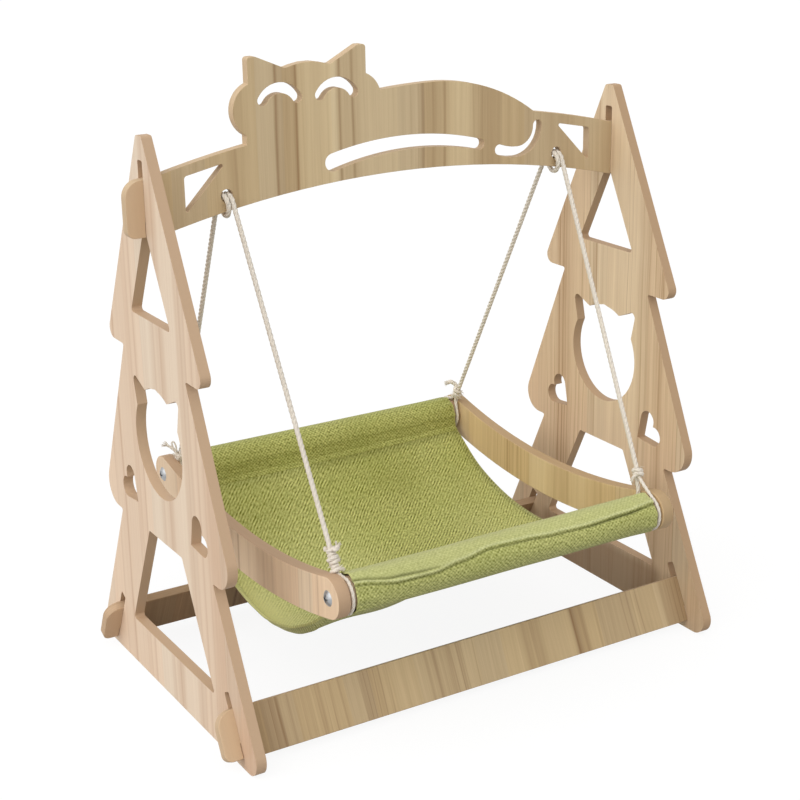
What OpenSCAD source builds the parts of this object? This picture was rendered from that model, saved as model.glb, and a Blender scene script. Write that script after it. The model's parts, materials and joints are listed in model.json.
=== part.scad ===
// Wooden cat swing: two tree-shaped side panels, a cat-shaped beam and two leaning rails hook together
// without tools, and a cloth sling hangs between them on two ropes.
// Millimetres. X runs across the frame, Y from front to back, Z up. The origin is on the floor,
// midway between the panels and midway between front and back.

/* [Overall] */
// Width over the hooks
overall_w = 545; // [480:1:640]
// Height of the cat's taller ear above the floor
overall_h = 595; // [560:1:630]
// Depth of the side panels over their rounded feet
panel_depth = 345; // [320:1:380]

/* [Boards and hooks] */
// Thickness of the side panels
panel_t = 10; // [8:0.5:14]
// Thickness of the beam and the rails
board_t = 9.5; // [8:0.5:12]
// Clearance on each side of a board in its slot
slot_gap = 0.2; // [0.1:0.05:0.5]
// Length of a hook outside its panel
hook_out = 17; // [12:1:24]
// Depth of a hook's notch, and of the free slot above the seated board
hook_drop = 15; // [10:1:18]
// Clearance between a hook's notch and the panel on each side
hook_gap = 0.3; // [0.1:0.05:0.6]
// Radius of a hook's upper outer corner
hook_top_r = 15; // [4:1:16]
// Radius of a hook's lower outer corner
hook_bottom_r = 7; // [2:1:8]
// How much shorter than its board a hook is at the bottom
hook_trim = 1.5; // [0.5:0.5:4]

/* [Side panel] */
// Depth of the panel's flat top below the taller ear's tip
panel_down = 60.5; // [35:0.5:75]
// Width of the panel's flat top
panel_top_w = 12; // [8:1:20]
// Radius of the corners of the panel's flat top
panel_top_r = 4; // [1:0.5:5]
// Sideways run of the top tier's edge for each unit of height
top_run = 0.5; // [0.45:0.01:0.54]
// Height of the top tier's underside
top_tier_z = 334.5; // [325:0.5:345]
// Radius of the top tier's tips
top_tip_r = 9; // [4:1:14]
// Width of the panel where the middle tier starts
middle_w = 136.5; // [126:0.5:146]
// Sideways run of the middle tier's edge for each unit of height
middle_run = 0.44; // [0.4:0.01:0.5]
// Height of the middle tier's underside
middle_tier_z = 160; // [150:0.5:168]
// Radius of the middle tier's tips
middle_tip_r = 21; // [8:1:24]
// Sideways run of the legs for each unit of height
leg_run = 0.5; // [0.45:0.01:0.54]
// Width of a leg, measured level
leg_w = 65; // [58:0.5:72]
// Radius of the feet
foot_r = 15; // [5:1:20]
// Radius of the inner corners under the tiers
notch_r = 2; // [0.5:0.5:4]

/* [Panel cut-outs] */
// Height of the triangular window's sill
triangle_sill = 371.5; // [360:0.5:385]
// Width of the triangular window at its sill
triangle_w = 87; // [70:1:96]
// Wood between the triangular window's sharp apex and the slot above it
triangle_bridge = 3.5; // [2:0.5:12]
// Corner radius of the straight windows
window_r = 3; // [1:0.5:6]
// Height of the middle of the cat-head window's round face
face_z = 256.5; // [248:0.5:262]
// Radius of the cat-head window's round face
face_r = 51.5; // [44:0.5:54]
// Half the distance between the cat-head window's ear tips, at their sharp corners
ear_half = 52; // [46:0.5:56]
// Height of the cat-head window's ear tips above its middle, at their sharp corners
ear_rise = 57; // [50:0.5:60]
// Radius of the cat-head window's ear tips
ear_r = 5; // [2:0.5:7]
// Half the distance between the two dips beside the cat-head window's brow
dip_half = 22.5; // [18:0.5:27]
// Height of the dips above the middle of the face
dip_rise = 44.5; // [40:0.5:47]
// Height of the middle of the brow above the middle of the face
brow_rise = 53; // [50:0.5:56]
// Height of the lower window's sill
lower_sill = 48; // [40:0.5:58]
// Half the distance between the two hearts' middles
heart_half = 80; // [74:0.5:84]
// Height of the hearts' middles
heart_z = 196; // [190:0.5:204]
// Radius of a heart's lobes
heart_r = 10; // [7:0.5:11]
// Half the distance between a heart's lobe centres
heart_lobe = 9; // [6:0.5:9.5]
// Distance from a heart's tip to the middle between its lobes
heart_len = 25; // [20:0.5:27]
// Tilt of a heart's axis from the level
heart_tilt = 36.5; // [20:0.5:60]

/* [Cat beam] */
// Radius of the beam's arched edges
arch_r = 1003; // [800:1:1400]
// Depth of the beam's lower edge at mid span below the taller ear's tip
beam_down = 118.5; // [111:0.5:125]
// Height of the beam between its arched edges
beam_h = 52.5; // [48:0.5:58]
// Place of the middle of the cat's head across the beam
head_x = -94; // [-100:0.5:-88]
// Depth of the middle of the cat's cheeks below the taller ear's tip
cheek_down = 49; // [43:0.5:55]
// Radius of the cat's cheeks
cheek_r = 25; // [22:0.5:28]
// Half the distance between the cheeks' centres
cheek_half = 49.5; // [46:0.5:54]
// Half the distance between the ears' outer edges
ears_half = 59; // [54:0.5:64]
// Distance of the neck's outer edge from the middle of the head
neck_half = 62.5; // [50:0.5:72]
// Depth of the head's top between the ears below the taller ear's tip
head_down = 12; // [9:0.5:17]
// Half the distance between the ears' inner ends
ears_inner = 22.5; // [16:0.5:28]
// How much lower the left ear's tip is than the right one's
left_ear_drop = 3; // [0:0.5:8]
// Width of an ear's blunt tip
ear_tip_w = 8; // [6:0.5:14]
// Radius of the corners of an ear's blunt tip
ear_tip_r = 3; // [1:0.5:3.5]
// Radius of the arch of the cat's back towards the tail
back_r = 196; // [180:1:220]
// Radius of the arch of the cat's back towards the head
shoulder_r = 600; // [300:10:900]
// Place of the top of the cat's back across the beam
back_x = 35; // [28:1:42]
// Depth of the top of the cat's back below the taller ear's tip
back_down = 39.5; // [33:0.5:47]
// Radius of the eyes' middle line
eye_r = 20; // [16:0.5:22]
// Width of the eyes' cut
eye_w = 9.5; // [6:0.5:11]
// Angle that each eye spans to either side of its top
eye_span = 59; // [45:1:70]
// Half the distance between the eyes' middles
eye_half = 28.5; // [25.5:0.5:31]
// Depth of the centres of the eyes' arcs below the taller ear's tip
eye_down = 51.5; // [47:0.5:55]
// Radius of the middle line of the long slot under the cat
belly_r = 312; // [260:1:400]
// Place of the top of the long slot's middle line across the beam
belly_x = 8.5; // [4:0.5:14]
// Depth of the top of the long slot's middle line below the taller ear's tip
belly_down = 92.5; // [89:0.5:96]
// Length of the long slot between its end centres
belly_len = 159; // [140:1:170]
// Width of the long slot's left end
belly_w_left = 16.5; // [8:0.5:18]
// Width of the long slot's right end
belly_w_right = 10; // [6:0.5:14]
// Place of the tail slot's upright part across the beam
tail_x = 155; // [150:0.5:160]
// Depth of the top centre of the tail slot below the taller ear's tip
tail_down = 91; // [89:0.5:95]
// Radius of the tail slot's bend
tail_r = 23.5; // [20:0.5:26]
// Radius of the tail slot's shallow end
tail_end_r = 57; // [40:1:90]
// Length of the tail slot's shallow end
tail_end_len = 21; // [12:1:26]
// Width of the tail slot
tail_w = 10; // [6:0.5:11]
// Place of the end triangles' upright edges across the beam
corner_x = 217.5; // [210:0.5:222]
// Length of the end triangles along the beam
corner_len = 40; // [28:0.5:44]
// Wood between the end triangles and the beam's upper edge
corner_margin = 9.5; // [7:0.5:14]
// Height of the end triangles' upright edges
corner_h = 33; // [22:0.5:34]

/* [Rails] */
// Width of a rail board
rail_h = 46; // [40:0.5:52]
// Height of a rail's lower edge along its lean
rail_low = 8.5; // [6:0.5:12]

/* [Swing] */
// Distance between the two dowels' axes
dowel_span = 350; // [320:1:370]
// Height of the dowels' axes
dowel_z = 156; // [145:0.5:170]
// Diameter of the dowels
dowel_d = 30; // [24:0.5:32]
// Width of the swing over its arms
swing_w = 364; // [350:1:380]
// Thickness of the arms
arm_t = 12; // [9:0.5:14]
// Height of the arm bars
arm_h = 38; // [36:0.5:42]
// How far the arms dip at mid length below the dowels
arm_dip = 22; // [14:0.5:28]

/* [Sling] */
// Thickness of the cloth
cloth_t = 1.4; // [1:0.1:2]
// Clearance between the sleeves and the dowels
sleeve_gap = 0.3; // [0.2:0.05:0.6]
// Distance of a sleeve's seam from the middle of its cloth, on the side where the seat pulls
seam_out = 4.5; // [3:0.5:12]
// Clearance between a sleeve's hem and the cloth at its seam
hem_gap = 0.4; // [0.3:0.05:0.8]
// Height of the cloth's lowest line at its left edge
sling_low_left = 66; // [56:1:84]
// Height of the cloth's lowest line at its right edge
sling_low_right = 91; // [66:1:96]
// Room for the rope between a sleeve's end and the arm
rope_room = 7; // [6.5:0.5:10]

/* [Ropes] */
// Diameter of the rope
rope_d = 4.5; // [4:0.1:5]
// Place of the rope holes to either side of mid span
rope_x = 178; // [172:0.5:182]
// Height of the centre of the rope's turn above the beam's lower edge
turn_up = 5; // [4.5:0.1:5.5]
// Clearance between the rope's turn and the wood inside it
turn_gap = 0.4; // [0.3:0.05:0.8]
// Room in a rope hole beside its two passes of rope
hole_room = 2.6; // [2.4:0.1:3.2]
// Clearance between neighbouring passes of the rope's turn
pass_gap = 0.45; // [0.45:0.05:0.6]
// Distance of the knots from the dowels' axes
knot_up = 30; // [29:0.5:38]
// Length of a knot
knot_len = 11; // [8:0.5:13]
// Diameter of a knot
knot_d = 12.5; // [11.5:0.5:14]
// Clearance between a rope's eye and its dowel
eye_gap = 0.3; // [0.2:0.05:0.6]

/* [Screws] */
// Diameter of a screw's head
head_d = 14.5; // [11:0.5:17]
// Height of a screw's head
head_h = 3; // [2:0.25:4]
// Diameter of a screw's shank
shank_d = 6; // [4:0.5:7]
// Length of a screw's shank
shank_len = 45; // [30:1:60]
// Clearance round a shank in its arm
shank_gap = 0.2; // [0.1:0.05:0.4]
// Clearance round a shank in its dowel
bore_gap = 0.05; // [0.02:0.01:0.1]
// Width of the arms of a head's cross recess
cross_w = 1.6; // [1.2:0.1:2]
// Length of a head's cross recess
cross_len = 7; // [5:0.5:8]
// Depth of a head's cross recess
cross_depth = 1.8; // [1:0.1:1.9]

/* [Hidden] */

panel_color = "#ddc8b0";
beam_color = "#b8a682";
rail_color = "#bca883";
arm_color = "#cfb48c";
dowel_color = "#d9c197";
cloth_color = "#aab455";
rope_color = "#ebe4d7";
zinc_color = "#b7bbbd";

$fn = 96;
// Angle that one step of a drawn arc covers at most
arc_step = 10;
// Steps along each long arched edge
arch_steps = 24;

// How far a cut runs past the face that it opens
cut_past = 1;

// Heights that follow the taller ear's tip
panel_top = overall_h - panel_down;
beam_low = overall_h - beam_down;
cheek_z = overall_h - cheek_down;
head_top = overall_h - head_down;
back_top = overall_h - back_down;
eye_z = overall_h - eye_down;
belly_z = overall_h - belly_down;
tail_top = overall_h - tail_down;

// The head's crown: how far the ears' inner ends sit below it, and the radii there and across it
crown_dip = 3;
ear_root_r = 6;
crown_r = 60;
// Angle of the cat-head window's ears' lower ends about its face
ear_foot_angle = 30;

// Faces of the panels, measured across from the middle
panel_out = overall_w / 2 - hook_out;
panel_in = panel_out - panel_t;

// The legs: where their outer edges would meet the floor without the rounded feet
leg_lean = atan(leg_run);
foot_corner = panel_depth / 2 + foot_r * (1 / tan((90 - leg_lean) / 2) - 1);
leg_top = foot_corner - leg_run * middle_tier_z;
leg_mid = foot_corner - leg_w / 2;

// The beam's edges, its ends and its seat in the panels
function arch(x) = sqrt(arch_r * arch_r - x * x) - arch_r;
function beam_lower(x) = beam_low + arch(x);
function beam_upper(x) = beam_low + beam_h + arch(x);
beam_seat = beam_lower(panel_in) + hook_drop;
beam_slot_top = beam_upper(panel_in) + hook_drop;
slot_w = board_t + 2 * slot_gap;
slot_r = slot_w / 5;

// The rails, measured along the lean of the legs from the floor
rail_top = rail_low + rail_h;
rail_seat = rail_low + hook_drop;
rail_slot_top = rail_top + hook_drop;

// The swing: arms as arcs through both dowels' axes
dowel_y = dowel_span / 2;
arm_out = swing_w / 2;
arm_in = arm_out - arm_t;
arm_r = (dowel_y * dowel_y + arm_dip * arm_dip) / (2 * arm_dip);
arm_axis_z = dowel_z - arm_dip + arm_r;
arm_half_angle = asin(dowel_y / arm_r);

// The sling: one strip of cloth, sewn round each dowel, that hangs in a parabola between the seams
sling_steps = 20;
sling_stations = 6;
sleeve_steps = 20;
sling_half = arm_in - rope_room;
sleeve_flat = cos(180 / sleeve_steps);
sleeve_mid = (dowel_d / 2 + sleeve_gap) / sleeve_flat + cloth_t / 2;
seam_reach = sleeve_mid + seam_out;
// Angle from a seam's direction to the places where the sleeve's two straight sides touch its round
seam_spread = acos(sleeve_mid / seam_reach);

// The ropes: one full turn round the web under each hole, on a circle about the swing's axis
turn_r = rope_d / 2 + turn_gap + norm([board_t / 2, turn_up]);
pivot_z = beam_lower(rope_x) + turn_up;
hole_z = pivot_z + (turn_r + sqrt(turn_r * turn_r - board_t * board_t / 4)) / 2;
hole_d = 2 * rope_d + hole_room;
turn_pitch = rope_d + pass_gap;
turn_steps = 26;
knot_x = sling_half + rope_room / 2;
eye_turn_r = dowel_d / 2 + rope_d / 2 + eye_gap;
rope_sides = 10;
eye_sides = 8;
eye_steps = 12;

// Gap between an eye's two legs, and how far they run into the knot
leg_gap = 0.5;
leg_sink = 1;

// Screws, bored into the dowels with some room past their tips
bore_room = 2;
bore_depth = shank_len - arm_t + bore_room;

// Points along an arc about c, from angle a0 to a1
function arc(c, r, a0, a1) =
    let (n = max(2, ceil(abs(a1 - a0) / arc_step)))
    [for (i = [0:n]) let (a = a0 + (a1 - a0) * i / n) c + r * [cos(a), sin(a)]];

// One corner of an outline, rounded to radius r: b is the corner, a and c its neighbours
function corner(a, b, c, r) =
    let (u = (a - b) / norm(a - b), v = (c - b) / norm(c - b),
         turn = acos(max(-1, min(1, u * v))),
         cut = r / tan(turn / 2),
         mid = b + (u + v) / norm(u + v) * r / sin(turn / 2),
         p = b + u * cut - mid, q = b + v * cut - mid,
         a0 = atan2(p.y, p.x), swing = atan2(p.x * q.y - p.y * q.x, p * q))
    arc(mid, r, a0, a0 + swing);

// Closed outline through corners [x, y, radius]
function rounded(c) =
    let (n = len(c), at = function (i) [c[(i + n) % n].x, c[(i + n) % n].y])
    [for (i = [0:n - 1])
        for (p = c[i][2] > 0 ? corner(at(i - 1), at(i), at(i + 1), c[i][2]) : [at(i)]) p];

// The corners of one half of an outline, in order, any on the middle line, and the half's mirror image
function both_halves(c, mid = []) = concat(c, mid, [for (i = [len(c) - 1:-1:0]) [-c[i].x, c[i].y, c[i][2]]]);

// Outline of a round-ended cut along a middle line, whose width runs from w0 to w1
function ribbon(path, w0, w1) =
    let (n = len(path) - 1,
         run = [for (i = [0:n]) let (d = path[min(i + 1, n)] - path[max(i - 1, 0)]) d / norm(d)],
         half = [for (i = [0:n]) (w0 + (w1 - w0) * i / n) / 2],
         left = [for (i = [0:n]) path[i] + half[i] * [-run[i].y, run[i].x]],
         right = [for (i = [n:-1:0]) path[i] - half[i] * [-run[i].y, run[i].x]],
         a1 = atan2(run[n].x, -run[n].y), a0 = atan2(-run[0].x, run[0].y),
         cap1 = arc(path[n], half[n], a1, a1 - 180), cap0 = arc(path[0], half[0], a0, a0 - 180))
    concat(left, [for (i = [1:len(cap1) - 2]) cap1[i]], right, [for (i = [1:len(cap0) - 2]) cap0[i]]);

// Side panel

// Outer edge of one half of the panel, from the floor up
panel_edge = both_halves([
    [foot_corner, 0, foot_r],
    [leg_top, middle_tier_z, notch_r],
    [middle_w / 2 + middle_run * (top_tier_z - middle_tier_z), middle_tier_z, middle_tip_r],
    [middle_w / 2, top_tier_z, notch_r],
    [panel_top_w / 2 + top_run * (panel_top - top_tier_z), top_tier_z, top_tip_r],
    [panel_top_w / 2, panel_top, panel_top_r]]);

module triangle_window() {
    polygon(rounded([[triangle_w / 2, triangle_sill, window_r],
                     [0, beam_seat - triangle_bridge, window_r],
                     [-triangle_w / 2, triangle_sill, window_r]]));
}

// Round face with two ears: the ears start inside the face
module cat_window() {
    ear_foot = face_r * [cos(ear_foot_angle), sin(ear_foot_angle)];
    translate([0, face_z]) {
        circle(r = face_r);
        polygon(rounded(both_halves([[ear_foot.x, ear_foot.y, 0],
                                     [ear_half, ear_rise, ear_r],
                                     [dip_half, dip_rise, dip_half / 2]],
                                    [[0, brow_rise, dip_half / 2]])));
    }
}

module lower_window() {
    polygon(rounded(both_halves([[foot_corner - leg_run * lower_sill - leg_w, lower_sill, window_r],
                                 [leg_top - leg_w, middle_tier_z, window_r]])));
}

// Heart with its tip at the origin and its lobes to the right
module heart() {
    lobe = [heart_len, heart_lobe];
    reach = norm(lobe);
    touch = atan(heart_lobe / heart_len) + asin(heart_r / reach);
    side = sqrt(reach * reach - heart_r * heart_r) * [cos(touch), sin(touch)];
    for (m = [0, 1]) mirror([0, m]) translate(lobe) circle(r = heart_r);
    polygon([[0, 0], [side.x, -side.y], [lobe.x, -lobe.y], lobe, side]);
}

module heart_window() {
    translate([heart_half, heart_z]) rotate(heart_tilt) translate([-heart_len, 0]) heart();
}

module beam_slot() {
    polygon(rounded(both_halves([[slot_w / 2, beam_seat, 0], [slot_w / 2, beam_slot_top, slot_r]])));
}

// Slot along the lean of one leg
module rail_slot() {
    translate([leg_mid, 0]) rotate(leg_lean)
        polygon(rounded(both_halves([[slot_w / 2, rail_seat, 0], [slot_w / 2, rail_slot_top, slot_r]])));
}

// Panel seen from the side, in Y and Z
module panel_profile() {
    difference() {
        polygon(rounded(panel_edge));
        triangle_window();
        cat_window();
        lower_window();
        beam_slot();
        for (m = [0, 1]) mirror([m, 0]) {
            heart_window();
            rail_slot();
        }
    }
}

// Stands a profile drawn in Y and Z upright, from x to x + t
module across(x, t) {
    translate([x, 0, 0]) rotate([90, 0, 90]) linear_extrude(t) children();
}

module left_panel() {
    color(panel_color) across(-panel_out, panel_t) panel_profile();
}

module right_panel() {
    color(panel_color) across(panel_in, panel_t) panel_profile();
}

// Cat beam, drawn in X and Z

// Corners of one hooked end, from the board's lower edge out and back to its upper edge
function hook_corners(low, high) = [
    [panel_in - hook_gap, low, 0],
    [panel_in - hook_gap, low + hook_drop, 0],
    [panel_out + hook_gap, low + hook_drop, 0],
    [panel_out + hook_gap, low + hook_trim, 0],
    [panel_out + hook_out, low + hook_trim, hook_bottom_r],
    [panel_out + hook_out, high, hook_top_r]];

beam_edge_xs = [for (i = [1:arch_steps - 1]) (2 * i / arch_steps - 1) * panel_in];

module beam_band() {
    hooks = hook_corners(beam_lower(panel_in), beam_upper(panel_out));
    polygon(rounded(concat(
        [for (x = beam_edge_xs) [x, beam_lower(x), 0]],
        hooks,
        [[panel_in, beam_upper(panel_in), 0]],
        [for (i = [len(beam_edge_xs) - 1:-1:0]) [beam_edge_xs[i], beam_upper(beam_edge_xs[i]), 0]],
        [[-panel_in, beam_upper(panel_in), 0]],
        [for (i = [len(hooks) - 1:-1:0]) [-hooks[i].x, hooks[i].y, hooks[i][2]]])));
}

// Head with two ears and round cheeks
module cat_head() {
    head_sag = head_top - cheek_z - cheek_r;
    ear_base = head_top - crown_dip;
    left_tip = overall_h - left_ear_drop;
    translate([head_x, 0]) {
        for (side = [-1, 1]) translate([side * cheek_half, cheek_z]) circle(r = cheek_r);
        polygon(rounded([
            [-neck_half, beam_low, 0],
            [cheek_half, beam_low, 0],
            [cheek_half, cheek_z, 0],
            [ears_half, cheek_z + cheek_r / 2, 0],
            [ears_half, overall_h, ear_tip_r],
            [ears_half - ear_tip_w, overall_h, ear_tip_r],
            [ears_inner, ear_base, ear_root_r],
            [0, head_top + head_sag / 4, crown_r],
            [-ears_inner, ear_base, ear_root_r],
            [ear_tip_w - ears_half, left_tip, ear_tip_r],
            [-ears_half, left_tip, ear_tip_r],
            [-ears_half, cheek_z + cheek_r / 2, 0],
            [-neck_half, cheek_z, 0]]));
    }
}

// Back of the cat: two arches that meet at its top, one towards the tail and a flatter one towards the head
module cat_back() {
    shoulder = back_x - head_x - cheek_half;
    for (bow = [[back_r, 0, overall_w / 2], [shoulder_r, -shoulder, shoulder]]) intersection() {
        translate([back_x, back_top - bow[0]]) circle(r = bow[0], $fn = 720);
        translate([back_x + bow[1], beam_low]) square([bow[2], back_top]);
    }
}

module eyes() {
    for (side = [-1, 1])
        polygon(ribbon(arc([head_x + side * eye_half, eye_z], eye_r, 90 + eye_span, 90 - eye_span),
                       eye_w, eye_w));
}

module belly_slot() {
    half = asin(belly_len / 2 / belly_r);
    middle = [for (i = [0:arch_steps]) let (a = 90 + half - 2 * half * i / arch_steps)
              [belly_x, belly_z - belly_r] + belly_r * [cos(a), sin(a)]];
    polygon(ribbon(middle, belly_w_left, belly_w_right));
}

module tail_slot() {
    bend = [tail_x - tail_r, tail_top];
    end = asin(tail_end_len / tail_end_r);
    shallow = arc(bend + [0, tail_end_r - tail_r], tail_end_r, -90, -90 - end);
    middle = concat(arc(bend, tail_r, 0, -90), [for (i = [1:len(shallow) - 1]) shallow[i]]);
    polygon(ribbon(middle, tail_w, tail_w));
}

module corner_window() {
    tip_x = corner_x - corner_len;
    top = beam_upper(corner_x) - corner_margin;
    polygon(rounded([[corner_x, top, window_r],
                     [tip_x, beam_upper(tip_x) - corner_margin, window_r / 2],
                     [corner_x, top - corner_h, window_r / 2]]));
}

module beam_profile() {
    difference() {
        union() {
            beam_band();
            cat_head();
            cat_back();
        }
        eyes();
        belly_slot();
        tail_slot();
        for (m = [0, 1]) mirror([m, 0]) corner_window();
    }
}

module top_beam() {
    color(beam_color) difference() {
        rotate([90, 0, 0]) linear_extrude(board_t, center = true) beam_profile();
        for (side = [-1, 1]) translate([side * rope_x, 0, hole_z])
            rotate([90, 0, 0]) cylinder(d = hole_d, h = 2 * board_t, center = true);
    }
}

// Rails: flat boards drawn in X and along the lean, then leaned with the legs

module rail() {
    translate([0, -leg_mid, 0]) rotate([90 - leg_lean, 0, 0]) linear_extrude(board_t, center = true)
        polygon(rounded(both_halves(hook_corners(rail_low, rail_top))));
}

module front_rail() {
    color(rail_color) rail();
}

module back_rail() {
    color(rail_color) mirror([0, 1, 0]) rail();
}

// Swing frame: arms, dowels and screws

// Arched bar with round ends, in Y and Z
module arm_profile() {
    axis = [0, arm_axis_z];
    a0 = -90 - arm_half_angle;
    a1 = -90 + arm_half_angle;
    function bar(r, from, to) =
        [for (i = [0:arch_steps]) let (a = from + (to - from) * i / arch_steps) axis + r * [cos(a), sin(a)]];
    difference() {
        union() {
            polygon(concat(bar(arm_r + arm_h / 2, a0, a1), bar(arm_r - arm_h / 2, a1, a0)));
            for (side = [-1, 1]) translate([side * dowel_y, dowel_z]) circle(d = arm_h);
        }
        for (side = [-1, 1]) translate([side * dowel_y, dowel_z]) circle(d = shank_d + 2 * shank_gap);
    }
}

module left_arm() {
    color(arm_color) across(-arm_out, arm_t) arm_profile();
}

module right_arm() {
    color(arm_color) across(arm_in, arm_t) arm_profile();
}

// Lays a piece that points along Z with its foot on the origin along X, outwards on the given side
module outwards(side, x, y) {
    translate([side * x, y, dowel_z]) rotate([0, side * 90, 0]) children();
}

module dowel(y) {
    difference() {
        outwards(1, -arm_in, y) cylinder(d = dowel_d, h = 2 * arm_in);
        for (side = [-1, 1]) outwards(side, arm_in - bore_depth, y)
            cylinder(d = shank_d + 2 * bore_gap, h = bore_depth + cut_past);
    }
}

module front_dowel() {
    color(dowel_color) dowel(-dowel_y);
}

module back_dowel() {
    color(dowel_color) dowel(dowel_y);
}

// Mushroom-headed screw with a cross recess, seated on an arm
module screw(side, y) {
    dome_r = (head_d * head_d / 4 + head_h * head_h) / (2 * head_h);
    dome_edge = acos(head_d / 2 / dome_r);
    color(zinc_color) outwards(side, arm_out, y) difference() {
        union() {
            translate([0, 0, -shank_len]) cylinder(d = shank_d, h = shank_len);
            rotate_extrude() polygon(concat([[0, 0]], arc([0, head_h - dome_r], dome_r, dome_edge, 90)));
        }
        for (turn = [0, 90]) rotate(turn) translate([0, 0, head_h])
            cube([cross_len, cross_w, 2 * cross_depth], center = true);
    }
}

module front_left_screw() {
    screw(-1, -dowel_y);
}

module front_right_screw() {
    screw(1, -dowel_y);
}

module back_left_screw() {
    screw(-1, dowel_y);
}

module back_right_screw() {
    screw(1, dowel_y);
}

// Sling: cloth that hangs between its two sleeves, deeper at the left edge than at the right

// Lowest height of a parabola that meets both seams at the angle a, on a line with the dowels' axes
function low_at(a) =
    dowel_z - seam_reach * sin(a) - tan(a) * (dowel_y - seam_reach * cos(a)) / 2;

// That angle for a given lowest height, found by halving
function angle_at(low, a0 = 0, a1 = 70, n = 30) =
    let (a = (a0 + a1) / 2)
    n == 0 ? a : low_at(a) > low ? angle_at(low, a, a1, n - 1) : angle_at(low, a0, a, n - 1);

// Middle line of the cloth in Y and Z from the back hem to the front hem, each point with its outward side:
// down from the hem's end the line runs round the back dowel to the seam, and across the seat to the front
function sling_line(low) =
    let (a = angle_at(low), axis = [dowel_y, dowel_z],
         seam = axis - seam_reach * [cos(a), sin(a)], curve = tan(a) / (2 * seam.x),
         side = function (t) [cos(t), sin(t)],
         seat_side = function (y) [2 * curve * y, -1] / norm([2 * curve * y, -1]),
         t0 = 540 + a - seam_spread, t1 = 180 + a + seam_spread,
         top = axis + sleeve_mid * side(t0),
         hem = seam + (cloth_t + hem_gap) * (top - seam) / norm(top - seam),
         roll = [for (i = [0:sleeve_steps]) let (t = t0 + (t1 - t0) * i / sleeve_steps)
                 [axis + sleeve_mid * side(t), side(t)]],
         fold = (seat_side(seam.x) + side(t1)) / (1 + seat_side(seam.x) * side(t1)),
         back = concat([[hem, side(t0)]], roll, [[seam, fold]]),
         hang = [for (i = [1:sling_steps - 1]) let (y = seam.x * (1 - 2 * i / sling_steps))
                 [[y, low + curve * y * y], seat_side(y)]],
         flip = function (p) [-p.x, p.y])
    concat(back, hang, [for (i = [len(back) - 1:-1:0]) [flip(back[i][0]), flip(back[i][1])]]);

module sling() {
    lines = [for (i = [0:sling_stations])
             sling_line(sling_low_left + (sling_low_right - sling_low_left) * i / sling_stations)];
    n = len(lines[0]);
    loop = 2 * n;
    points = [for (i = [0:sling_stations]) let (x = sling_half * (2 * i / sling_stations - 1))
        for (k = [0:loop - 1])
        let (q = k < n ? lines[i][k] : lines[i][loop - 1 - k],
             p = q[0] + (k < n ? 1 : -1) * cloth_t / 2 * q[1]) [x, p.x, p.y]];
    walls = [for (i = [0:sling_stations - 1]) for (k = [0:loop - 1])
        let (a = i * loop + k, b = i * loop + (k + 1) % loop)
        for (f = [[a, b, a + loop], [b, b + loop, a + loop]]) f];
    last = sling_stations * loop;
    edges = [for (k = [0:n - 2])
        let (a = k, b = k + 1, c = loop - 2 - k, d = loop - 1 - k)
        for (f = [[a, d, b], [b, d, c], [last + a, last + b, last + d], [last + b, last + c, last + d]]) f];
    color(cloth_color) polyhedron(points = points, faces = concat(walls, edges));
}

// Ropes

// Tube swept along a path that never runs along X
module tube(path, d, sides) {
    n = len(path);
    rings = [for (i = [0:n - 1])
        let (run = path[min(i + 1, n - 1)] - path[max(i - 1, 0)],
             t = run / norm(run),
             flat = [1, 0, 0] - t.x * t,
             u = flat / norm(flat),
             v = cross(t, u))
        for (k = [0:sides - 1]) let (a = 360 * k / sides) path[i] + d / 2 * (cos(a) * u + sin(a) * v)];
    walls = [for (i = [0:n - 2]) for (k = [0:sides - 1])
        let (a = i * sides + k, b = i * sides + (k + 1) % sides)
        for (f = [[a, a + sides, b], [b, a + sides, b + sides]]) f];
    ends = [for (k = [1:sides - 2]) for (f = [[0, k, k + 1],
            [(n - 1) * sides, (n - 1) * sides + k + 1, (n - 1) * sides + k]]) f];
    polyhedron(points = rings, faces = concat(walls, ends));
}

// Middle of the knot at one corner of the swing: side is -1 left or 1 right, back is -1 front or 1 back
function knot_point(side, back) =
    let (low = [side * knot_x, back * dowel_y, dowel_z],
         high = [side * rope_x, 0, pivot_z])
    low + knot_up * (high - low) / norm(high - low);

// Angle about the pivot at which the rope to one knot leaves its turn
function leave_angle(side, back) =
    let (k = knot_point(side, back), d = [k.y, k.z - pivot_z])
    atan2(d.y, d.x) + back * acos(turn_r / norm(d));

// A point of the turn: angle a about the pivot, x along the beam
function turn_point(x, a) = [x, turn_r * cos(a), pivot_z + turn_r * sin(a)];

// The turn: over the web through the hole, under the web, and through the hole again to the back
function turn_path(side, steps = turn_steps) =
    let (a0 = (leave_angle(side, -1) + 360) % 360,
         a1 = leave_angle(side, 1) - 360,
         shift = turn_pitch * (a0 - a1) / 360)
    [for (i = [0:steps]) let (f = i / steps)
        turn_point(side * rope_x + shift * (0.5 - f), a0 + (a1 - a0) * f)];

// Least gap between the turn's two passes, measured on points at least half a turn apart
function pass_gaps(path, apart) =
    [for (i = [0:len(path) - 1 - apart]) for (j = [i + apart:len(path) - 1]) norm(path[i] - path[j]) - rope_d];
echo(least_gap_in_rope_turn = min(pass_gaps(turn_path(1, 150), 60)));

// Where a rope stretch meets the flat end of its knot
function knot_top(side, back, leave) =
    let (k = knot_point(side, back)) k + knot_len / 2 * (leave - k) / norm(leave - k);

module rope(side) {
    turn = turn_path(side);
    color(rope_color) tube(concat([knot_top(side, -1, turn[0])], turn, [knot_top(side, 1, turn[turn_steps])]),
                           rope_d, rope_sides);
}

module left_rope() {
    rope(-1);
}

module right_rope() {
    rope(1);
}

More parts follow.
